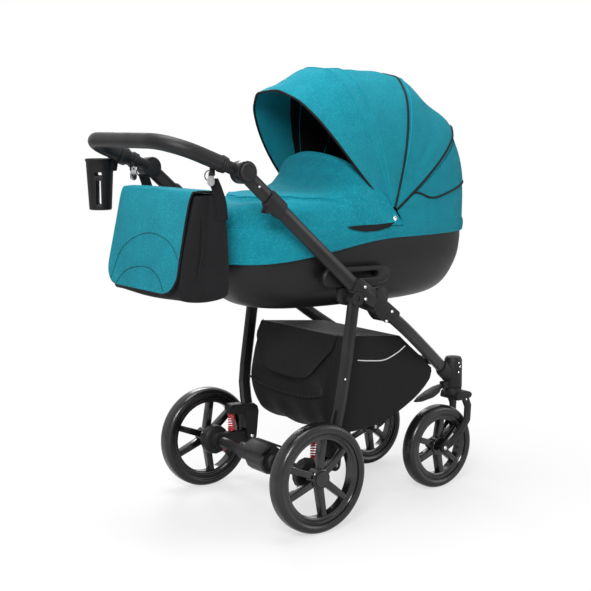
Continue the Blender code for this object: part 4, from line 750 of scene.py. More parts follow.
def wheel_bars(name, centre, hub, barrel, half):
    """Three pairs of bars that spread a little from the hub to the barrel."""
    bars = []
    for pair in range(3):
        for hand in (-1, 1):
            root = aim(180 + 120 * pair + hand * 26) * (hub - 0.004)
            tip = aim(180 + 120 * pair + hand * 22) * (barrel + 0.004)
            wide = (tip - root).cross(Y).normalized()
            outline = [centre + end + wide * share - Y * half for end, share in
                       ((root, -0.0100), (root, 0.0100), (tip, 0.0086), (tip, -0.0086))]
            bars.append(plate(f"{name}_bar_{pair}_{hand}", outline, Y * 2 * half, 0.0028, 3))
    return bars


def make_wheel(end, name, side):
    """Tyre, and rim with bars, hub and the rear hub's cap."""
    body = f"{end}_wheel_{name}"
    centre = middle(f"{end}_tyre_{name}")
    low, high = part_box(f"{end}_tyre_{name}")
    radius, half = centre.z - 0.0004, (high[1] - low[1]) / 2
    steps = sizes().wheel_steps
    tyre = spun(f"{end}_tyre_{name}_fine", tyre_section(radius, half), centre, Y, steps)
    dress(tyre, body, "tyre", [f"{end}_tyre_{name}"], 50)
    parts = [spun(f"{body}_barrel", rim_section(radius, half), centre, Y, steps)]
    parts += wheel_bars(body, centre, 0.028, radius - RIM_DEPTH - BARREL_DEPTH, 0.0118)
    parts.append(spun(f"{body}_hub", HUB, centre, Y, 40))
    if end == "rear":
        parts.append(spun(f"{body}_cap", HUB_CAP, centre, Y, 48, side))
    dress(joined(f"{end}_rim_{name}_fine", parts), body, "rim", [f"{end}_rim_{name}"], 40)


def make_axle_bolts(name):
    """Bright bolt ends in the caster forks."""
    centre = middle(f"front_tyre_{name}")
    screws(f"axle_bolts_{name}", f"caster_{name}",
           [(centre + Y * hand * 0.0366, Y * hand, 0.0062) for hand in (-1, 1)])


# Handle, cup holder and small metal

HANDLE_REACH = 0.222
HANDLE_CORNER = 0.095
KNUCKLE_HALF = ((0, -0.0100), (0.0250, -0.0100), (0.0272, -0.0094), (0.0290, -0.0070), (0.0290, 0.0088),
                (0.0282, 0.0097), (0, 0.0097))
HOOK_LUG = ((-0.006, -0.006), (0.006, -0.006), (0.006, 0.016), (-0.006, 0.020))
TILT_BUTTON = ((0, 0), (0.0232, 0), (0.0235, 0.0010), (0.0235, 0.0055), (0.0222, 0.0078),
               (0.0205, 0.0088), (0.0192, 0.0082), (0.0120, 0.0094), (0, 0.0098))


def handle_at(along, y):
    """A point in the handle's plane, a distance from the knuckles."""
    return KNUCKLE + HANDLE_AWAY * along + Y * y


def handle_line(start=0.056):
    """Centre line of the padded bar, from the right arm round to the left one."""
    straight = HANDLE_REACH - HANDLE_CORNER
    line = [handle_at(start, -HANDLE_Y), handle_at((straight + start) / 2, -HANDLE_Y)]
    for hand in (-1, 1):
        centre = handle_at(straight, hand * (HANDLE_Y - HANDLE_CORNER))
        bend = [centre + Y * hand * HANDLE_CORNER * math.cos(math.radians(turn))
                + HANDLE_AWAY * HANDLE_CORNER * math.sin(math.radians(turn)) for turn in range(0, 91, 6)]
        line += bend if hand < 0 else bend[::-1]
    return line + [handle_at((straight + start) / 2, HANDLE_Y), handle_at(start, HANDLE_Y)]


def make_handle():
    """Padded bar with its stitched seam, end rings, necks and the inner half of each knuckle."""
    radius = sizes().grip_radius
    line = handle_line()
    bar = cord_along("handle_bar", line, radius, around=8)
    bevel(bar, 0.004, 3, 60)
    dress(bar, "handle_unit", "leather", ["handle"], 50)
    below, outward = [], []
    for before, point, after in zip([line[0]] + line, line, line[1:] + [line[-1]]):
        inward = (after - before).normalized().cross(HANDLE_SQUARE).normalized()
        out = (inward * 0.80 - HANDLE_SQUARE * 0.60).normalized()
        below.append(point + out * (radius + 0.0002))
        outward.append(out)
    seam = stitches("handle_stitches", below, outward, 0.0036, 0.0006)
    dress(seam, "handle_unit", "leather", paint="black_trim")
    parts = []
    for name, side in SIDES:
        arm = side * HANDLE_Y
        for start, wide in ((0.050, radius + 0.0012), (0.059, radius + 0.0022)):
            profile = [(0.010, 0), (wide - 0.001, 0), (wide, 0.001), (wide, 0.0055),
                       (wide - 0.001, 0.0065), (0.010, 0.0065)]
            parts.append(spun(f"ring_{name}_{start}", profile, handle_at(start, arm), HANDLE_AWAY, 40))
        neck = [handle_at(0.018, arm), handle_at(0.054, arm)]
        parts.append(cord_along(f"neck_{name}", neck, 0.0158, around=8))
        parts.append(spun(f"knuckle_{name}", KNUCKLE_HALF, KNUCKLE + Y * arm, Y, 48, side))
        face = side * (abs(middle(f"bag_clip_{name}").y) + 0.0020)
        lug = [at(-0.27605 + a, face, 0.95799 + b) for a, b in HOOK_LUG]
        parts.append(plate(f"hook_lug_{name}", lug, Y * side * 0.009, 0.0012))
    dress(joined("handle_knuckles", parts), "handle_unit", "plastic", ["handle"])


def make_buttons():
    """Round tilt buttons with a raised edge, over the outer half of each knuckle."""
    for name, side in SIDES:
        profile = [(r, SIDE_Y + 0.0165 + h) for r, h in TILT_BUTTON]
        button = spun(f"tilt_button_{name}_fine", profile, KNUCKLE, Y, 48, side)
        dress(button, f"handle_button_{name}", "plastic", [f"tilt_button_{name}"])


def make_cup_holder():
    """Open cup with two windows and a drain slot, on a clamp round the left arm of the handle."""
    centre = at(-0.335, 0.2770, 0)
    top, foot = 0.985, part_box("cup_holder")[0][2]
    wall = [(0, foot), (0.0285, foot), (0.0310, foot + 0.0025), (0.0380, top - 0.010),
            (0.0385, top - 0.008), (0.0400, top - 0.0070), (0.0400, top - 0.0015), (0.0388, top),
            (0.0352, top), (0.0282, foot + 0.005), (0.0265, foot + 0.0035), (0, foot + 0.0035)]
    cup = spun("cup_holder_fine", wall, centre, Z, 64)
    through, wide = Vector((0.60, 0.80, 0)), Vector((0.80, -0.60, 0))
    for dx, low, high in ((0.007, foot + 0.014, foot + 0.082), (0.010, foot + 0.094, foot + 0.104)):
        across = [centre - through * 0.06 + wide * a + Z * z for a, z in
                  ((-dx, low), (dx, low), (dx, high), (-dx, high))]
        carve(cup, plate("cup_window", across, through * 0.12, 0.003, 3))
    bevel(cup, 0.0006, 2, 40)
    spot = handle_at(0.096, HANDLE_Y)
    clamp = spun("cup_clamp", [(0.0203, -0.0115), (0.0245, -0.0115), (0.0252, -0.0100), (0.0252, 0.0100),
                               (0.0245, 0.0115), (0.0203, 0.0115)], spot, HANDLE_AWAY, 48)
    outline = [Vector((centre.x + a, HANDLE_Y + 0.018, top + b)) for a, b in
               ((0.012, -0.034), (0.034, -0.034), (0.042, 0.012), (0.020, 0.012))]
    neck = plate("cup_neck", outline, Y * 0.026, 0.003)
    dress(joined("cup_holder_whole", [cup, clamp, neck]), "handle_unit", "plastic", ["cup_holder"])
    bolt = screw("cup_screw", spot + HANDLE_SQUARE * 0.0245, HANDLE_SQUARE, 0.0038)
    dress(bolt, "handle_unit", "steel")


def make_springs():
    """Red coil springs with flattened end turns, each under a black cap."""
    wire, turns, steps = 0.0017, sizes().coils, 22
    for name, _ in SIDES:
        low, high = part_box(f"rear_spring_{name}")
        centre = middle(f"rear_spring_{name}")
        radius = (high[0] - low[0]) / 2 - 0.0019
        rise = high[2] - low[2] - 2 * wire
        line = []
        for k in range(int(turns * steps) + 1):
            share = k / (turns * steps)
            level = ease(((0.0, 0.0), (0.10, 0.06), (0.90, 0.94), (1.0, 1.0)), share) * 0.35 + share * 0.65
            turn = math.tau * turns * share
            line.append(Vector((centre.x + radius * math.cos(turn), centre.y + radius * math.sin(turn),
                                low[2] + wire + rise * level)))
        coil = cord_along(f"rear_spring_{name}_fine", line, wire)
        dress(coil, "rear_legs", "red", [f"rear_spring_{name}"], 60)
        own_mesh(coil)
        profile = [(r, high[2] + h) for r, h in ((0.004, -0.0006), (0.0150, -0.0006), (0.0158, 0.0006),
                                                 (0.0158, 0.008), (0.0140, 0.0100), (0.004, 0.0100))]
        cap = spun(f"spring_cap_{name}", profile, Vector((centre.x, centre.y, 0)), Z, 40)
        dress(cap, "rear_legs", "plastic")


def make_frame_fasteners():
    """Screws and pins of the chassis, one piece for each body."""
    out = SIDE_Y + 0.0178
    for body, places in (("push_arms", ((0.179, 0.643), (0.181, 0.610))),
                         ("front_frame", ((0.277, 0.567), (0.257, 0.542)))):
        screws(f"{body}_screws", body, [(at(x, side * out, z), Y * side, 0.0045)
                                        for _, side in SIDES for x, z in places])
    legs = []
    for _, side in SIDES:
        legs += [(at(0.106, side * 0.2188, 0.152), Y * side, 0.0058),
                 (at(0.106, side * 0.1832, 0.152), Y * -side, 0.0058),
                 (at(0.1175, side * (SIDE_Y + 0.0105), 0.395), Y * side, 0.0030)]
    screws("rear_leg_screws", "rear_legs", legs)
    screws("arm_screws", "push_arms", [(at(-0.163, side * (SIDE_Y + 0.0104), 0.923), Y * side, 0.0034)
                                       for _, side in SIDES])
    for name, side in SIDES:
        y = side * 0.1595
        screws(f"caster_screws_{name}", "front_frame",
               [(at(x, y - 0.0262, z), -Y, 0.0030) for x, z in
                ((0.6020, 0.374), (0.6060, 0.362), (0.6010, 0.346))])
        screws(f"fork_screws_{name}", f"caster_{name}",
               [(at(0.6250, y + hand * 0.0364, 0.262), Y * hand, 0.0032) for hand in (-1, 1)])


def make_mouldings():
    """Carried-over frame pieces with their edges rounded over."""
    for name, _ in SIDES:
        for node, *place in (("fold_block", "front_frame"), ("push_arm", "push_arms", "frame"),
                             ("fold_trigger", f"fold_collar_{name}"), ("leg_foot", "rear_legs"),
                             ("swing_arm", "rear_axle_unit"), ("caster_housing", "front_frame"),
                             ("caster_fork", f"caster_{name}"), ("swivel_lock", f"swivel_lever_{name}"),
                             ("cot_plate", "cot"), ("wheel_release", f"release_button_{name}", "red")):
            refined(f"{node}_{name}", *place)
    refined("brake_pedal", "brake")


def paint_frame():
    """Finishes for the nodes that show as they are."""
    for part in frame["record"]["subparts"]:
        node = frame["nodes"][part["node"]]
        node.data.materials.clear()
        node.data.materials.append(PAINTS[SLOT_PAINT[part["material_slot"]]])


# Hood

HOOD_REACH = ((5, 0.392), (33, 0.408), (36, 0.420), (54, 0.398), (70, 0.408), (74, 0.406), (88, 0.396),
              (97, 0.401), (101, 0.409), (104, 0.408), (108, 0.422), (111, 0.425), (120, 0.424), (130, 0.438))
HOOD_CREASES = ((30, 1.0), (44, 3.4), (66, 2.6), (78, 0.8))
HOOD_SQUARE = 0.8
HOOD_TURNS = [math.pi * (0.006 + 0.988 * k / 96) for k in range(97)]
PIPING_FRONT, RIDGE_MIDDLE, PIPING_REAR = 73.0, 70.0, 36.0
HEM_LIFT = 0.0030


def over_hood(turn, angle, reach, half):
    """A point of the hood: its turn from the right foot to the left one, and its place about the axis."""
    return (HOOD_AXIS + aim(angle) * math.sin(turn) ** HOOD_SQUARE * reach
            - Y * signed(math.cos(turn), HOOD_SQUARE) * half)


def hood_row(angle, lift=0.0):
    """Points over the hood from its right foot to its left, at an angle about its axis in degrees."""
    row = []
    for turn in HOOD_TURNS:
        rise = math.sin(turn) ** HOOD_SQUARE
        lean = 12 * max(0.0, (angle - 108) / 22) * (1 - rise) ** 1.5
        gather = math.sin(angle * 0.55 + 2.2 * math.sin(turn * 2.0)) * bell(rise, 0.42, 0.22)
        pleat = math.sin(turn * 17 + angle * 0.16) * bell(rise, 0.95, 0.12)
        wrinkle = 0.0032 * gather * ease(HOOD_CREASES, angle) + 0.0020 * pleat
        row.append(over_hood(turn, angle + lean, ease(HOOD_REACH, angle) + lift + wrinkle,
                             HALF_WIDTH - 0.0005 + lift))
    return row


def hem_angle(rise):
    """Angle of the hem at a share of the way up from the hood's foot."""
    return 12.0 + 25.0 * bell(max(rise, 0.19), 0.19, 0.12)


def hood_hem():
    """The hem of the rear cloth, low over the head end and rising to the rear piping at each side."""
    line = []
    for k in range(121):
        turn = math.pi * (0.040 + 0.920 * k / 120)
        angle = hem_angle(math.sin(turn) ** HOOD_SQUARE)
        line.append(over_hood(turn, angle, ease(HOOD_REACH, angle) + HEM_LIFT, HALF_WIDTH + 0.0022))
    return line


def hood_rows(first, last, step=1.5):
    """Rows over the hood between two angles, with the angle of each."""
    count = max(2, round(abs(last - first) / step))
    angles = [first + (last - first) * k / count for k in range(count + 1)]
    return [hood_row(angle) for angle in angles], angles


def make_hood():
    """Visor, main cloth and rear cloth of the hood with their corded edges."""
    thick = sizes().cloth * 0.5
    cord = sizes().piping_radius
    rows, _ = hood_rows(VISOR_RIM + 2, FRONT_BOW)
    visor, flat = cloth_grid("hood_visor_cloth", rows, thick)
    dress(visor, "hood_front", "teal", ["hood_visor"], 60)
    rim = piping("hood_rim_piping", hood_row(VISOR_RIM + 2, -0.0005), cord, "hood_front")
    lay_sheet(flat)

    rows, _ = hood_rows(FRONT_BOW, REAR_BOW)
    main, flat = cloth_grid("hood_main_cloth", rows, thick, lining="woven_black")
    dress(main, None, "teal", ["hood_panel_front", "hood_panel_middle"], 60)
    lay_sheet(flat)
    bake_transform(main)

    seams = [cord_along(f"hood_seam_{angle}", hood_row(angle), height)
             for angle, height in ((FRONT_BOW, 0.0024), (101.0, 0.0020))]
    dress(joined("hood_front_seams", seams), "hood_front", "teal")
    piping("hood_middle_piping", hood_row(PIPING_FRONT, 0.0006), cord, "hood_middle")
    ridge("hood_middle_ridge", hood_row(RIDGE_MIDDLE, 0.0002), cord * 0.8, "hood_middle")
    piping("hood_rear_piping", hood_row(PIPING_REAR, 0.0006), cord, "cot")

    rows, angles = hood_rows(REAR_BOW, TAIL_RIM, 1.0)
    for row, angle in zip(rows, angles):
        for point, turn in zip(row, HOOD_TURNS):
            rise = math.sin(turn) ** HOOD_SQUARE
            above = soft_step((angle - hem_angle(rise)) / 0.5)
            point += (point - HOOD_AXIS).normalized() * HEM_LIFT * above * min(1, rise / 0.2)
    foot = [Vector((max(HOOD_AXIS.x, head_end(point.y)), point.y, BAND_TOP - 0.014)) for point in rows[-1]]
    for share in (0.35, 0.70, 1.0):
        arch = Z * 0.004 * math.sin(math.pi * share)
        rows.append([a.lerp(b, share) + arch for a, b in zip(hood_row(TAIL_RIM), foot)])
    rear, flat = cloth_grid("hood_rear_cloth", rows, thick, lining="woven_black")
    dress(rear, "cot", "teal", ["hood_panel_rear"], 60)
    hem = piping("hood_hem_piping", hood_hem(), cord * 0.85, "cot")
    lay_sheet(flat)


# Cot

COT_POWER = 2.7
BAND_FOOT = ((-0.12, 0.712), (0.35, 0.767))
BAND_SECTION = ((0.0, -0.0010), (0.05, 0.0004), (0.12, 0.0010), (0.16, 0.0002), (0.24, 0.0012),
                (0.40, 0.0020), (0.60, 0.0022), (0.78, 0.0016), (0.90, 0.0004), (1.0, -0.0010))
HEM_ROW = 3
SHELL_SIDE = ((0.06, 0.02, 0.5755), (0.20, 0.062, 0.5755), (0.262, 0.090, 0.576), (0.335, 0.130, 0.590),
              (0.382, 0.160, 0.622), (0.418, 0.180, 0.680), (0.4295, 0.1885, 0.735), (0.4300, 0.1900, 0.790))
SHELL_WALL = 0.003
QUILT_PITCH = 0.055


def across_oval(share):
    """How wide the cot's oval is at a share of its half length, and the other way round."""
    return (1 - share ** COT_POWER) ** (1 / COT_POWER)


def head_end(y):
    """X of the cot's head end at a given y."""
    return AXLE_X + COT_X + COT_HALF_LENGTH * across_oval(min(abs(y) / (HALF_WIDTH + 0.0006), 1.0))


def half_width(x):
    """Half the cot's width at a given x."""
    return HALF_WIDTH * across_oval(min(abs(x - COT_X) / COT_HALF_LENGTH, 0.9995))


def ring(half_length, half_wide, level, grow=0.0, count=160):
    """Points round the cot at one height."""
    points = []
    for k in range(count):
        turn = math.tau * k / count
        points.append(at(COT_X + signed(math.cos(turn), 2 / COT_POWER) * (half_length + grow),
                         signed(math.sin(turn), 2 / COT_POWER) * (half_wide + grow), level))
    return points


def make_cot_band():
    """Padded teal band round the tub, with a stitched hem at its foot."""
    rows = []
    for share, out in BAND_SECTION:
        row = ring(COT_HALF_LENGTH, HALF_WIDTH, 0, out - 0.0010)
        for k, point in enumerate(row):
            low = ease(BAND_FOOT, point.x - AXLE_X)
            ripple = 0.0006 * math.sin(k * 0.9) * math.sin(k * 0.23 + 1) * math.sin(math.pi * share)
            point.z = low + (BAND_TOP - low) * share
            point.y += math.copysign(ripple, point.y)
        rows.append(row)
    band, flat = cloth_grid("cot_band_cloth", rows, sizes().cloth, closed=True)
    dress(band, "cot", "teal", ["cot_band"], 60)
    normals = [Vector(((p.x - AXLE_X - COT_X) / COT_HALF_LENGTH ** 2, p.y / HALF_WIDTH ** 2, 0)).normalized()
               for p in rows[HEM_ROW]]
    thread = stitches("cot_band_stitches", rows[HEM_ROW], normals, 0.0034, 0.0005)
    dress(thread, "cot", "teal")
    lay_sheet(flat)


def make_cot_shell():
    """Satin tub with a soft fold between its floor and its sides, hollow above the mattress."""
    rows = [ring(k.x, k.y, k.z) for k in smooth([Vector(k) for k in SHELL_SIDE], 7)]
    tub, _ = cloth_grid("cot_shell_fine", rows, SHELL_WALL, closed=True)
    floor_plate = plate("tub_floor", ring(0.062, 0.022, SHELL_SIDE[0][2]), Z * SHELL_WALL)
    dress(joined("cot_tub", [tub, floor_plate]), "cot", "shell", ["cot_shell"], 50)


def make_mattress():
    """Thin crowned mattress with rows of quilting."""
    low, high = (Vector(p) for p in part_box("mattress"))
    centre, half = (low + high) / 2, (high - low) / 2
    mesh = bmesh.new()
    rings = []
    for k in range(25):
        turn = math.pi * k / 24
        share = max(math.sin(turn), 0.02) ** 0.35 if k not in (0, 24) else 0.02
        rise, crown = -math.cos(turn), 1 - 0.25 * share ** 2
        row = []
        for j in range(96):
            around = math.tau * j / 96
            x = signed(math.cos(around), 2 / COT_POWER) * half.x * share
            y = signed(math.sin(around), 2 / COT_POWER) * half.y * share
            quilt = 0.0014 * math.cos(x / QUILT_PITCH * math.pi) * math.cos(y / QUILT_PITCH * math.pi)
            level = centre.z + rise * half.z * crown + (quilt if rise > 0.2 else 0)
            row.append(mesh.verts.new((centre.x + x, centre.y + y, level)))
        rings.append(row)
    for a, b in zip(rings, rings[1:]):
        for k in range(96):
            m = (k + 1) % 96
            mesh.faces.new((a[k], a[m], b[m], b[k]))
    mesh.faces.new(rings[0][::-1])
    mesh.faces.new(rings[-1])
    bmesh.ops.recalc_face_normals(mesh, faces=mesh.faces[:])
    shape = built("mattress_fine", mesh)
    dress(shape, "cot", "white_cloth", ["mattress"], 60)


APRON_LOW = ((-0.1637, 0.001), (-0.1622, 0.020), (-0.150, 0.050), (-0.114, 0.070), (-0.034, 0.082))
APRON_RAISED = ((0.060, 0, 0.086, 5.0), (0.130, 4, 0.094, 4.0), (0.190, 14, 0.124, 3.3),
                (0.245, 24, 0.168, 3.0), (0.300, 33, 0.222, 2.8), (0.352, 40, 0.252, 2.7))
# Outline (x, z) of the black plate on each side that paints the shade in the slit under the raised apron
APRON_SLIT_SHADE = ((0.150, 0.8045), (0.200, 0.8060), (0.260, 0.8060), (0.322, 0.8090), (0.300, 0.7960),
             (0.262, 0.7885), (0.215, 0.7880), (0.175, 0.7950))
SNAP = ((0, 0), (0.0072, 0), (0.0072, 0.0010), (0.0058, 0.0022), (0.0030, 0.0016), (0, 0.0018))


def fold_x(y):
    """X of the fold where the raised part lies over the foot part."""
    return -0.060 + 0.26 * (abs(y) / HALF_WIDTH) ** 3.2


def apron_lift(x, y, top):
    """How far the apron's face stands off its plain shape: the fold's step, a tuck and soft wrinkles."""
    past = x - fold_x(y)
    step = 0.0075 * soft_step(past / 0.0016)
    tuck = -0.0030 * bell(past, -0.012, 0.012)
    ripple = 0.0010 * math.sin(x * 92 + y * 38)
    crease = -0.0024 * bell(past - 0.1 * y, 0.050, 0.012) * bell(y, -0.05, 0.09)
    dip = -0.006 * bell(y, 0, 0.09) * bell(x, -0.09, 0.04)
    return (step + tuck + ripple + crease) * min(1.0, top / 0.05) + dip


def apron_row(x, lean, height, power):
    """Points over the apron at one station, from its left edge to its right one."""
    raised = ease(((0.10, 0.0), (0.26, 1.0)), x)
    up = aim(90 + lean)
    row = []
    for k in range(73):
        turn = math.pi * k / 72
        share = math.sin(turn) ** (2 / power)
        narrow = 0.40 + 0.47 * raised * share ** 2
        y = -signed(math.cos(turn), narrow) * (half_width(x) - 0.0004 + 0.0085 * raised)
        top = share * height
        row.append(at(x, y, BAND_TOP - 0.001) + up * (top + apron_lift(x, y, top)))
    return row


def make_apron():
    """Apron over the cot's foot end whose free end stands up as a wind guard."""
    knots = [(x, 0, height, 5.0) for x, height in APRON_LOW] + list(APRON_RAISED)
    rows = [apron_row(*station) for station in smooth([Vector(k) for k in knots], 14)]
    apron, flat = cloth_grid("apron_cloth", rows, sizes().cloth, lining="woven_black")
    dress(apron, "cot", "teal", ["apron"], 60)
    edge = ridge("apron_edge", rows[-1], 0.0022, "cot")
    fold = []
    for column in zip(*rows[1:]):
        past = [p for p in column if p.x - AXLE_X > fold_x(p.y) and p.z > BAND_TOP + 0.012]
        fold += past[:1]
    fold_edge = ridge("apron_fold", fold, 0.0016, "cot")
    around = [p + Z * 0.001 for p in ring(COT_HALF_LENGTH, HALF_WIDTH, BAND_TOP, -0.0006)
              if p.x - AXLE_X < 0.300]
    seam_line = (sorted((p for p in around if p.y < 0), key=lambda p: -p.x)
                 + sorted((p for p in around if p.y >= 0), key=lambda p: p.x))
    seam = ridge("apron_seam", seam_line, 0.0019, "cot")
    lay_sheet(flat)
    # Black plates on each side paint the shade of the slit between the raised apron and the band
    for name, side in SIDES:
        outline = [at(x, side * (HALF_WIDTH + 0.0070), z) for x, z in APRON_SLIT_SHADE]
        dress(plate(f"apron_slit_shade_{name}", outline, Y * side * 0.0012), "cot", "black_cloth")
    snaps = [spun(f"snap_{name}", SNAP, at(0.322, side * (HALF_WIDTH + 0.0078), 0.820), Y * side, 28)
             for name, side in SIDES]
    dress(joined("apron_snaps", snaps), "cot", "steel")


# Bag

BAG_HALF = 0.176
BAG_FLOOR, BAG_TALL = 0.640, 0.2615
BAG_SIDE = ((-0.226, 0.9015), (-0.214, 0.800), (-0.210, 0.700), (-0.212, 0.655), (-0.226, 0.640),
            (-0.282, 0.634), (-0.338, 0.640), (-0.353, 0.655), (-0.350, 0.720), (-0.330, 0.810),
            (-0.306, 0.9015))
BAG_GATHERS = (1.0, 0.72, 0.45, 0.20, 0.06, 0.0)
STRAP = ((-0.232, 0.1775, 0.838), (-0.236, 0.1780, 0.880), (-0.246, 0.1760, 0.915), (-0.258, 0.1735, 0.944))
POCKET = ((-0.304, 0.1745, 0.893), (-0.291, 0.1775, 0.825), (-0.294, 0.1780, 0.750), (-0.318, 0.1740, 0.662))
STRAP_LOOP = 0.013
FLAP_SIDE = ((-0.234, 0.9030), (-0.236, 0.9085), (-0.270, 0.9110), (-0.306, 0.9110), (-0.3220, 0.900),
             (-0.3420, 0.820), (-0.3610, 0.730), (-0.3740, 0.656))
FLAP_CORNER = 0.055
FLAP_COLUMNS = 48
ARC_LIFT = 0.0033
FLAP_FACE = Vector((-1, 0, 0.2)).normalized()
FLAP_ARCS = (((0.150, 0.672), (0.116, 0.747), (0.040, 0.790), (-0.040, 0.802), (-0.120, 0.785),
              (-0.172, 0.745)),
             ((0.118, 0.662), (0.085, 0.692), (0.020, 0.712), (-0.040, 0.714), (-0.095, 0.695),
              (-0.124, 0.664)))


def bag_end(path, side, gather):
    """A row of the bag's closed end, gathered toward the middle of its depth."""
    y = side * (BAG_HALF - 0.010 + 0.010 * math.sin(math.pi * min(gather + 0.12, 1)))
    row = []
    for p in path:
        share = min(max((p.z - BAG_FLOOR) / BAG_TALL, 0), 1)
        mid = AXLE_X - 0.282 + 0.017 * share
        row.append(Vector((p.x + (mid - p.x) * gather, y, max(p.z, 0.636 + 0.006 * gather))))
    return row


def ribbon(name, line, width, thick):
    """Flat webbing along a line."""
    strip, _ = cloth_grid(name, [[p - width / 2, p, p + width / 2] for p in line], thick)
    return strip


def make_bag():
    """Soft bag: a lofted shell open at the top, with gathered ends, piped edges and two straps."""
    path = smooth([at(x, 0, z) for x, z in BAG_SIDE], 6)
    grid = [bag_end(path, -1, gather) for gather in BAG_GATHERS]
    for share in spread(24)[1:-1]:
        y = share * (BAG_HALF - 0.010)
        sag = -0.006 * math.cos(math.pi * y / (2 * BAG_HALF)) ** 2
        grid.append([Vector((p.x, y, p.z + (sag if p.z < 0.66 else 0))) for p in path])
    grid += [bag_end(path, 1, gather) for gather in BAG_GATHERS[::-1]]
    shell, _ = cloth_grid("bag_shell", grid, 0.0018)
    take(shell)
    edit_all()
    close_up(0.0004)
    parts = [shell]
    for side in (-1, 1):
        edge = [Vector((p.x, side * (BAG_HALF - 0.0085), p.z)) for p in path]
        parts.append(cord_along(f"bag_edge_{side}", edge, 0.0026))
    for side in (-1, 1):
        band = smooth([at(x, side * y, z) for x, y, z in STRAP], 6)
        parts.append(ribbon(f"bag_strap_{side}", band, X * 0.032, 0.0016))
        hook = [at(-0.2660, side * 0.171, 0.951) + aim(angle) * STRAP_LOOP for angle in range(0, 331, 15)]
        parts.append(cord_along(f"bag_loop_{side}", hook, 0.0014))
        pocket = smooth([at(x, side * y, z) for x, y, z in POCKET])
        parts.append(cord_along(f"bag_pocket_{side}", pocket, 0.0022))
    dress(joined("bag_fine", parts), "bag", "black_cloth", ["bag_body"], 50)


def on_flap(rows, y, level):
    """The point just off the flap's face at a place across it and a height."""
    spots = []
    for row in rows:
        share = min(max((y / row[-1].y + 1) * FLAP_COLUMNS / 2, 0), FLAP_COLUMNS - 0.001)
        spots.append(row[int(share)].lerp(row[int(share) + 1], share - int(share)))
    for above, below in zip(spots, spots[1:]):
        if below.z <= level <= above.z:
            return above.lerp(below, (above.z - level) / (above.z - below.z)) - X * ARC_LIFT
    return spots[-1] - X * ARC_LIFT


def make_bag_flap():
    """Teal flap with rounded lower corners, a corded edge and two stitched arcs."""
    low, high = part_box("bag_flap")
    half = (high[1] - low[1]) / 2 - 0.0015
    path = smooth([at(x, 0, z) for x, z in FLAP_SIDE], 7)
    down = run_along(path)
    rows = []
    for p, run in zip(path, down):
        left = min(down[-1] - run, FLAP_CORNER)
        wide = half - FLAP_CORNER + math.sqrt(FLAP_CORNER ** 2 - (FLAP_CORNER - left) ** 2)
        out = FLAP_FACE if run > 0.10 else Z * 0.6
        row = []
        for share in spread(FLAP_COLUMNS):
            y = wide * share
            puff = 0.0030 * math.sin(math.pi * run / down[-1]) * math.cos(math.pi * y / (2 * half))
            wave = 0.0012 * math.sin(y * 42 + run * 20) * min(1, run / 0.1)
            row.append(p + Y * y + out * (puff + wave))
        rows.append(row)
    flap, flat = cloth_grid("bag_flap_cloth", rows, 0.0030)
    dress(flap, "bag_cover", "teal", ["bag_flap"], 60)
    cord = piping("bag_flap_edge", rim_of(rows), 0.0028, "bag_cover")
    lines = []
    for number, knots in enumerate(FLAP_ARCS):
        line = [on_flap(rows, p.y, p.z) for p in smooth([Vector((0, y, z)) for y, z in knots], 10)]
        lines.append(stitches(f"arc_{number}", line, [FLAP_FACE] * len(line), 0.0042, 0.0007))
    arcs = dress(joined("bag_flap_stitches", lines), "bag_cover", "black_cloth", paint="black_trim")
    lay_sheet(flat)


def rim_of(rows):
    """The two sides and the last row of a grid as one line."""
    return [row[0] for row in rows] + rows[-1][1:-1] + [row[-1] for row in rows[::-1]]


# Basket

BASKET_HALF = 0.178
BASKET_EDGE_X, LID_END_X = 0.145, 0.372
BASKET_SIDE = ((0.145, 0.500), (0.112, 0.420), (0.094, 0.340), (0.110, 0.272), (0.140, 0.234), (0.190, 0.216),
               (0.320, 0.228), (0.425, 0.275), (0.485, 0.322), (0.496, 0.352), (0.478, 0.392), (0.420, 0.438),
               (0.372, 0.478))
BASKET_GATHERS = (1.0, 0.75, 0.5, 0.28, 0.12, 0.03)
PALE_EDGE = ((0.215, 0.426), (0.257, 0.420), (0.313, 0.416), (0.362, 0.431), (0.392, 0.448))


def basket_top(x):
    """Height of the basket's upper edge, sloping down to the front and then more steeply."""
    if x < LID_END_X:
        return 0.500 - 0.022 * (x - BASKET_EDGE_X) / (LID_END_X - BASKET_EDGE_X)
    return 0.478 - 0.106 * (x - LID_END_X) / 0.124


def basket_end(path, side, gather):
    """A row of the basket's closed end, drawn up toward its edge."""
    row = []
    for p in path:
        fold = 0.0022 * math.sin(p.x * 60 + gather * 8) * math.sin(math.pi * gather)
        y = side * (BASKET_HALF - 0.008 + 0.008 * min(gather * 5, 1.0) - abs(fold))
        x = p.x + max(0, AXLE_X + BASKET_EDGE_X - p.x) * gather
        row.append(Vector((x, y, p.z + (basket_top(p.x - AXLE_X) - p.z) * gather)))
    return row


def basket_row(path, y):
    """A row round the basket away from its ends, with a dent at the back, sag and soft folds."""
    row = []
    for number, p in enumerate(path):
        share = number / (len(path) - 1)
        if share < 0.3:
            p = p + X * 0.022 * (bell(p.z, 0.350, 0.020) * (1 - abs(y / BASKET_HALF) ** 4))
        sag = -0.004 * math.sin(math.pi * share) * math.cos(math.pi * y / (2 * BASKET_HALF)) ** 2
        fold = 0.0018 * math.sin(y * 55 + share * 9) * math.sin(math.pi * share)
        row.append(Vector((p.x + fold, y, p.z + sag + fold)))
    return row


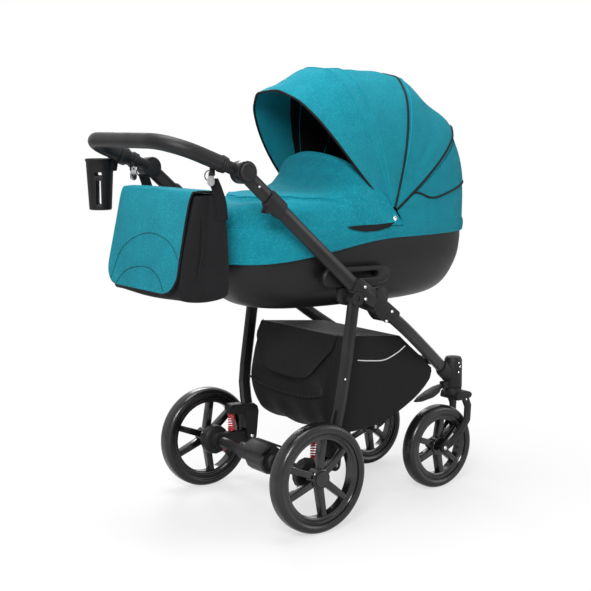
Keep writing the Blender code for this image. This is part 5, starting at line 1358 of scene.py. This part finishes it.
def make_basket():
    """Hanging cloth basket with a lid, a zipped edge, an elastic edge and a pale piping."""
    path = smooth([at(x, 0, z) for x, z in BASKET_SIDE], 7)
    grid = [basket_end(path, -1, gather) for gather in BASKET_GATHERS]
    grid += [basket_row(path, (BASKET_HALF - 0.008) * share) for share in spread(28)[1:-1]]
    grid += [basket_end(path, 1, gather) for gather in BASKET_GATHERS[::-1]]
    shell, _ = cloth_grid("basket_shell", grid, 0.0016)
    take(shell)
    edit_all()
    close_up(0.0003)
    wide, lid, back = BASKET_HALF - 0.002, [], []
    for k in range(15):
        share = k / 14
        x, level, dip = 0.146 + 0.226 * share, 0.501 - 0.022 * share, 0.012 * math.sin(math.pi * share)
        lid.append([at(x, wide * side, level - dip * math.sin(math.pi * (side + 1) / 2))
                    for side in spread(32)])
    for k in range(11):
        share = k / 10
        x = 0.140 - 0.044 * share - 0.004 * math.sin(math.pi * share)
        reach = wide * (1 - 0.32 * max(0, share - 0.35) / 0.65)
        back.append([at(x, reach * side, 0.502 - 0.130 * share + 0.022 * abs(side) ** 4 * share)
                     for side in spread(32)])
    lid_cloth, _ = cloth_grid("basket_lid", lid, 0.0016)
    back_cloth, _ = cloth_grid("basket_lid_front", back, 0.0016)
    zip_edge = cord_along("basket_zip", rim_of(back), 0.0022)
    elastic = [at(0.0905 + 0.0012 * math.sin(j * 1.3), (BASKET_HALF - 0.004) * side,
                  0.322 + 0.020 * abs((BASKET_HALF - 0.004) * side / BASKET_HALF) ** 3)
               for j, side in enumerate(spread(96))]
    gather = cord_along("basket_elastic", elastic, 0.0030)
    whole = joined("basket_fine", [shell, lid_cloth, back_cloth, zip_edge, gather])
    dress(whole, "front_frame", "black_cloth", ["basket"], 50)
    trims = []
    for side in (-1, 1):
        line = smooth([at(x, side * (BASKET_HALF + 0.0005), z) for x, z in PALE_EDGE])
        trims.append(cord_along(f"pale_edge_{side}", line, 0.0016))
    tab = ribbon("basket_tab", [at(0.128 - 0.008 * k / 4, 0.171, 0.404 - 0.046 * k / 4) for k in range(5)],
                 Y * 0.014, 0.0012)
    dress(joined("basket_pale_trim", trims + [tab]), "front_frame", "white_cloth", [], 50, "white_trim")


# Stage

CAMERA_PLACE = at(-1.9224, -2.7426, 1.079)
CAMERA_DIP = 8.0297
CAMERA_TURN = -36.8331
CAMERA_LENS = 74.05
SENSOR_WIDTH = 36.0
LAMP_TARGET = Vector((0, 0, 0.6))
LAMPS = (("key", (-2.3, -2.5, 2.5), 1.2, 118), ("fill", (2.6, -2.2, 1.4), 1.6, 18),
         ("top", (-0.3, 0.2, 3.2), 1.6, 62), ("rim", (1.2, 2.8, 2.0), 1.2, 26))
WHITE_NEAR, WHITE_FAR, WHITE_SHARE = 0.35, 1.5, 0.62
WORLD_LIGHT = 0.30


def make_floor():
    """White floor that keeps the shadow near the pram and fades to plain white away from it."""
    deselect()
    bpy.ops.mesh.primitive_plane_add(size=40, location=(0, 0, 0))
    floor = bpy.context.object
    floor.name = "floor"
    finish = Finish("pale_floor", (0.80, 0.80, 0.80), 0.6)
    finish.set("Roughness", finish.noise(3, 2) * 0.1 + 0.55)
    away = finish.node("ShaderNodeVectorMath", {"operation": "LENGTH"},
                       {0: finish.node("ShaderNodeTexCoord", output="Object")}, "Value")
    seen = finish.node("ShaderNodeLightPath", output="Is Camera Ray")
    fade = seen * away.span(WHITE_NEAR, WHITE_FAR, WHITE_SHARE, 1.0)
    surface = finish.tree.nodes["Material Output"].inputs["Surface"]
    plain = Value(finish, surface.links[0].from_socket)
    glow = finish.node("ShaderNodeEmission")
    finish.give(surface, finish.node("ShaderNodeMixShader", inputs={0: fade, 1: plain, 2: glow}))
    floor.data.materials.append(finish.material)


def make_world():
    """White all round for the camera and the reflections, and dimmer as a light."""
    world = bpy.data.worlds.new("studio")
    bpy.context.scene.world = world
    world.use_nodes = True
    nodes = Nodes(world.node_tree)
    back = world.node_tree.nodes["Background"].inputs
    back["Color"].default_value = (1, 1, 1, 1)
    camera = nodes.node("ShaderNodeLightPath", output="Is Camera Ray")
    glossy = Value(nodes, camera.socket.node.outputs["Is Glossy Ray"])
    seen = nodes.node("ShaderNodeMath", {"operation": "ADD", "use_clamp": True}, {0: camera, 1: glossy})
    level = nodes.node("ShaderNodeMapRange", inputs={"Value": seen, "To Min": WORLD_LIGHT})
    nodes.give(back["Strength"], level)


def make_stage():
    """Floor, white surroundings, soft lamps and the camera."""
    view = bpy.data.cameras.new("camera")
    view.sensor_width, view.lens = SENSOR_WIDTH, CAMERA_LENS
    camera = added("camera", view)
    camera.location = CAMERA_PLACE
    camera.rotation_euler = (math.radians(90 - CAMERA_DIP), 0, math.radians(CAMERA_TURN))
    bpy.context.scene.camera = camera
    make_floor()
    make_world()
    for name, place, size, power in LAMPS:
        lamp = bpy.data.lights.new(name, "AREA")
        lamp.shape, lamp.size, lamp.energy = "DISK", size, power
        item = added(name, lamp)
        item.location = place
        item.rotation_euler = (LAMP_TARGET - Vector(place)).to_track_quat("-Z", "Y").to_euler()
    bpy.context.scene.view_settings.view_transform = "Standard"


# Add-on

class PRAM_OT_wheels(bpy.types.Operator):
    """Build tyres, rims and axle bolts"""
    bl_idname = "pram.wheels"
    bl_label = "Wheels"

    def execute(self, context):
        for name, side in SIDES:
            make_wheel("rear", name, side)
            make_wheel("front", name, side)
            make_axle_bolts(name)
        return {"FINISHED"}


class PRAM_OT_handle(bpy.types.Operator):
    """Build the padded bar, its tilt buttons and the cup holder"""
    bl_idname = "pram.handle"
    bl_label = "Handle"

    def execute(self, context):
        make_handle()
        make_buttons()
        make_cup_holder()
        return {"FINISHED"}


class PRAM_OT_chassis(bpy.types.Operator):
    """Build springs, screws and mouldings of the chassis"""
    bl_idname = "pram.chassis"
    bl_label = "Chassis"

    def execute(self, context):
        make_springs()
        make_frame_fasteners()
        make_mouldings()
        return {"FINISHED"}


class PRAM_OT_hood(bpy.types.Operator):
    """Build the hood's cloth and piping"""
    bl_idname = "pram.hood"
    bl_label = "Hood"

    def execute(self, context):
        make_hood()
        return {"FINISHED"}


class PRAM_OT_cot(bpy.types.Operator):
    """Build the tub, its band, the mattress and the apron"""
    bl_idname = "pram.cot"
    bl_label = "Cot"

    def execute(self, context):
        make_cot_shell()
        make_cot_band()
        make_mattress()
        make_apron()
        return {"FINISHED"}


class PRAM_OT_bag(bpy.types.Operator):
    """Build the bag and its flap"""
    bl_idname = "pram.bag"
    bl_label = "Bag"

    def execute(self, context):
        make_bag()
        make_bag_flap()
        return {"FINISHED"}


class PRAM_OT_basket(bpy.types.Operator):
    """Build the basket and its trim"""
    bl_idname = "pram.basket"
    bl_label = "Basket"

    def execute(self, context):
        make_basket()
        return {"FINISHED"}


class PRAM_OT_stage(bpy.types.Operator):
    """Build the floor, the white surroundings, the lamps and the camera"""
    bl_idname = "pram.stage"
    bl_label = "Stage"

    def execute(self, context):
        make_stage()
        return {"FINISHED"}


class PRAM_PT_panel(bpy.types.Panel):
    """Sizes, colours and building steps in the 3D view's sidebar"""
    bl_label = "Pram"
    bl_space_type = "VIEW_3D"
    bl_region_type = "UI"
    bl_category = "Pram"

    def draw(self, context):
        for group in (sizes(), colours()):
            column = self.layout.column(align=True)
            for key in group.__annotations__:
                column.prop(group, key)
        steps = self.layout.column()
        for operator in OPERATORS:
            steps.operator(operator.bl_idname)


OPERATORS = (PRAM_OT_wheels, PRAM_OT_handle, PRAM_OT_chassis, PRAM_OT_hood, PRAM_OT_cot, PRAM_OT_bag,
             PRAM_OT_basket, PRAM_OT_stage)
CLASSES = (PramSizes, PramColours) + OPERATORS + (PRAM_PT_panel,)


def register():
    """Makes the classes and the pram's settings known."""
    for item in CLASSES:
        bpy.utils.register_class(item)
    bpy.types.Scene.pram_sizes = PointerProperty(type=PramSizes)
    bpy.types.Scene.pram_colours = PointerProperty(type=PramColours)


def unregister():
    """Takes them back."""
    del bpy.types.Scene.pram_colours
    del bpy.types.Scene.pram_sizes
    for item in reversed(CLASSES):
        bpy.utils.unregister_class(item)


def main():
    """Builds the pram and its stage."""
    register()
    make_paints()
    paint_frame()
    bpy.ops.pram.wheels()
    bpy.ops.pram.handle()
    bpy.ops.pram.chassis()
    bpy.ops.pram.hood()
    bpy.ops.pram.cot()
    bpy.ops.pram.bag()
    bpy.ops.pram.basket()
    bpy.ops.pram.stage()
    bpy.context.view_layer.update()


if __name__ == "__main__":
    main()
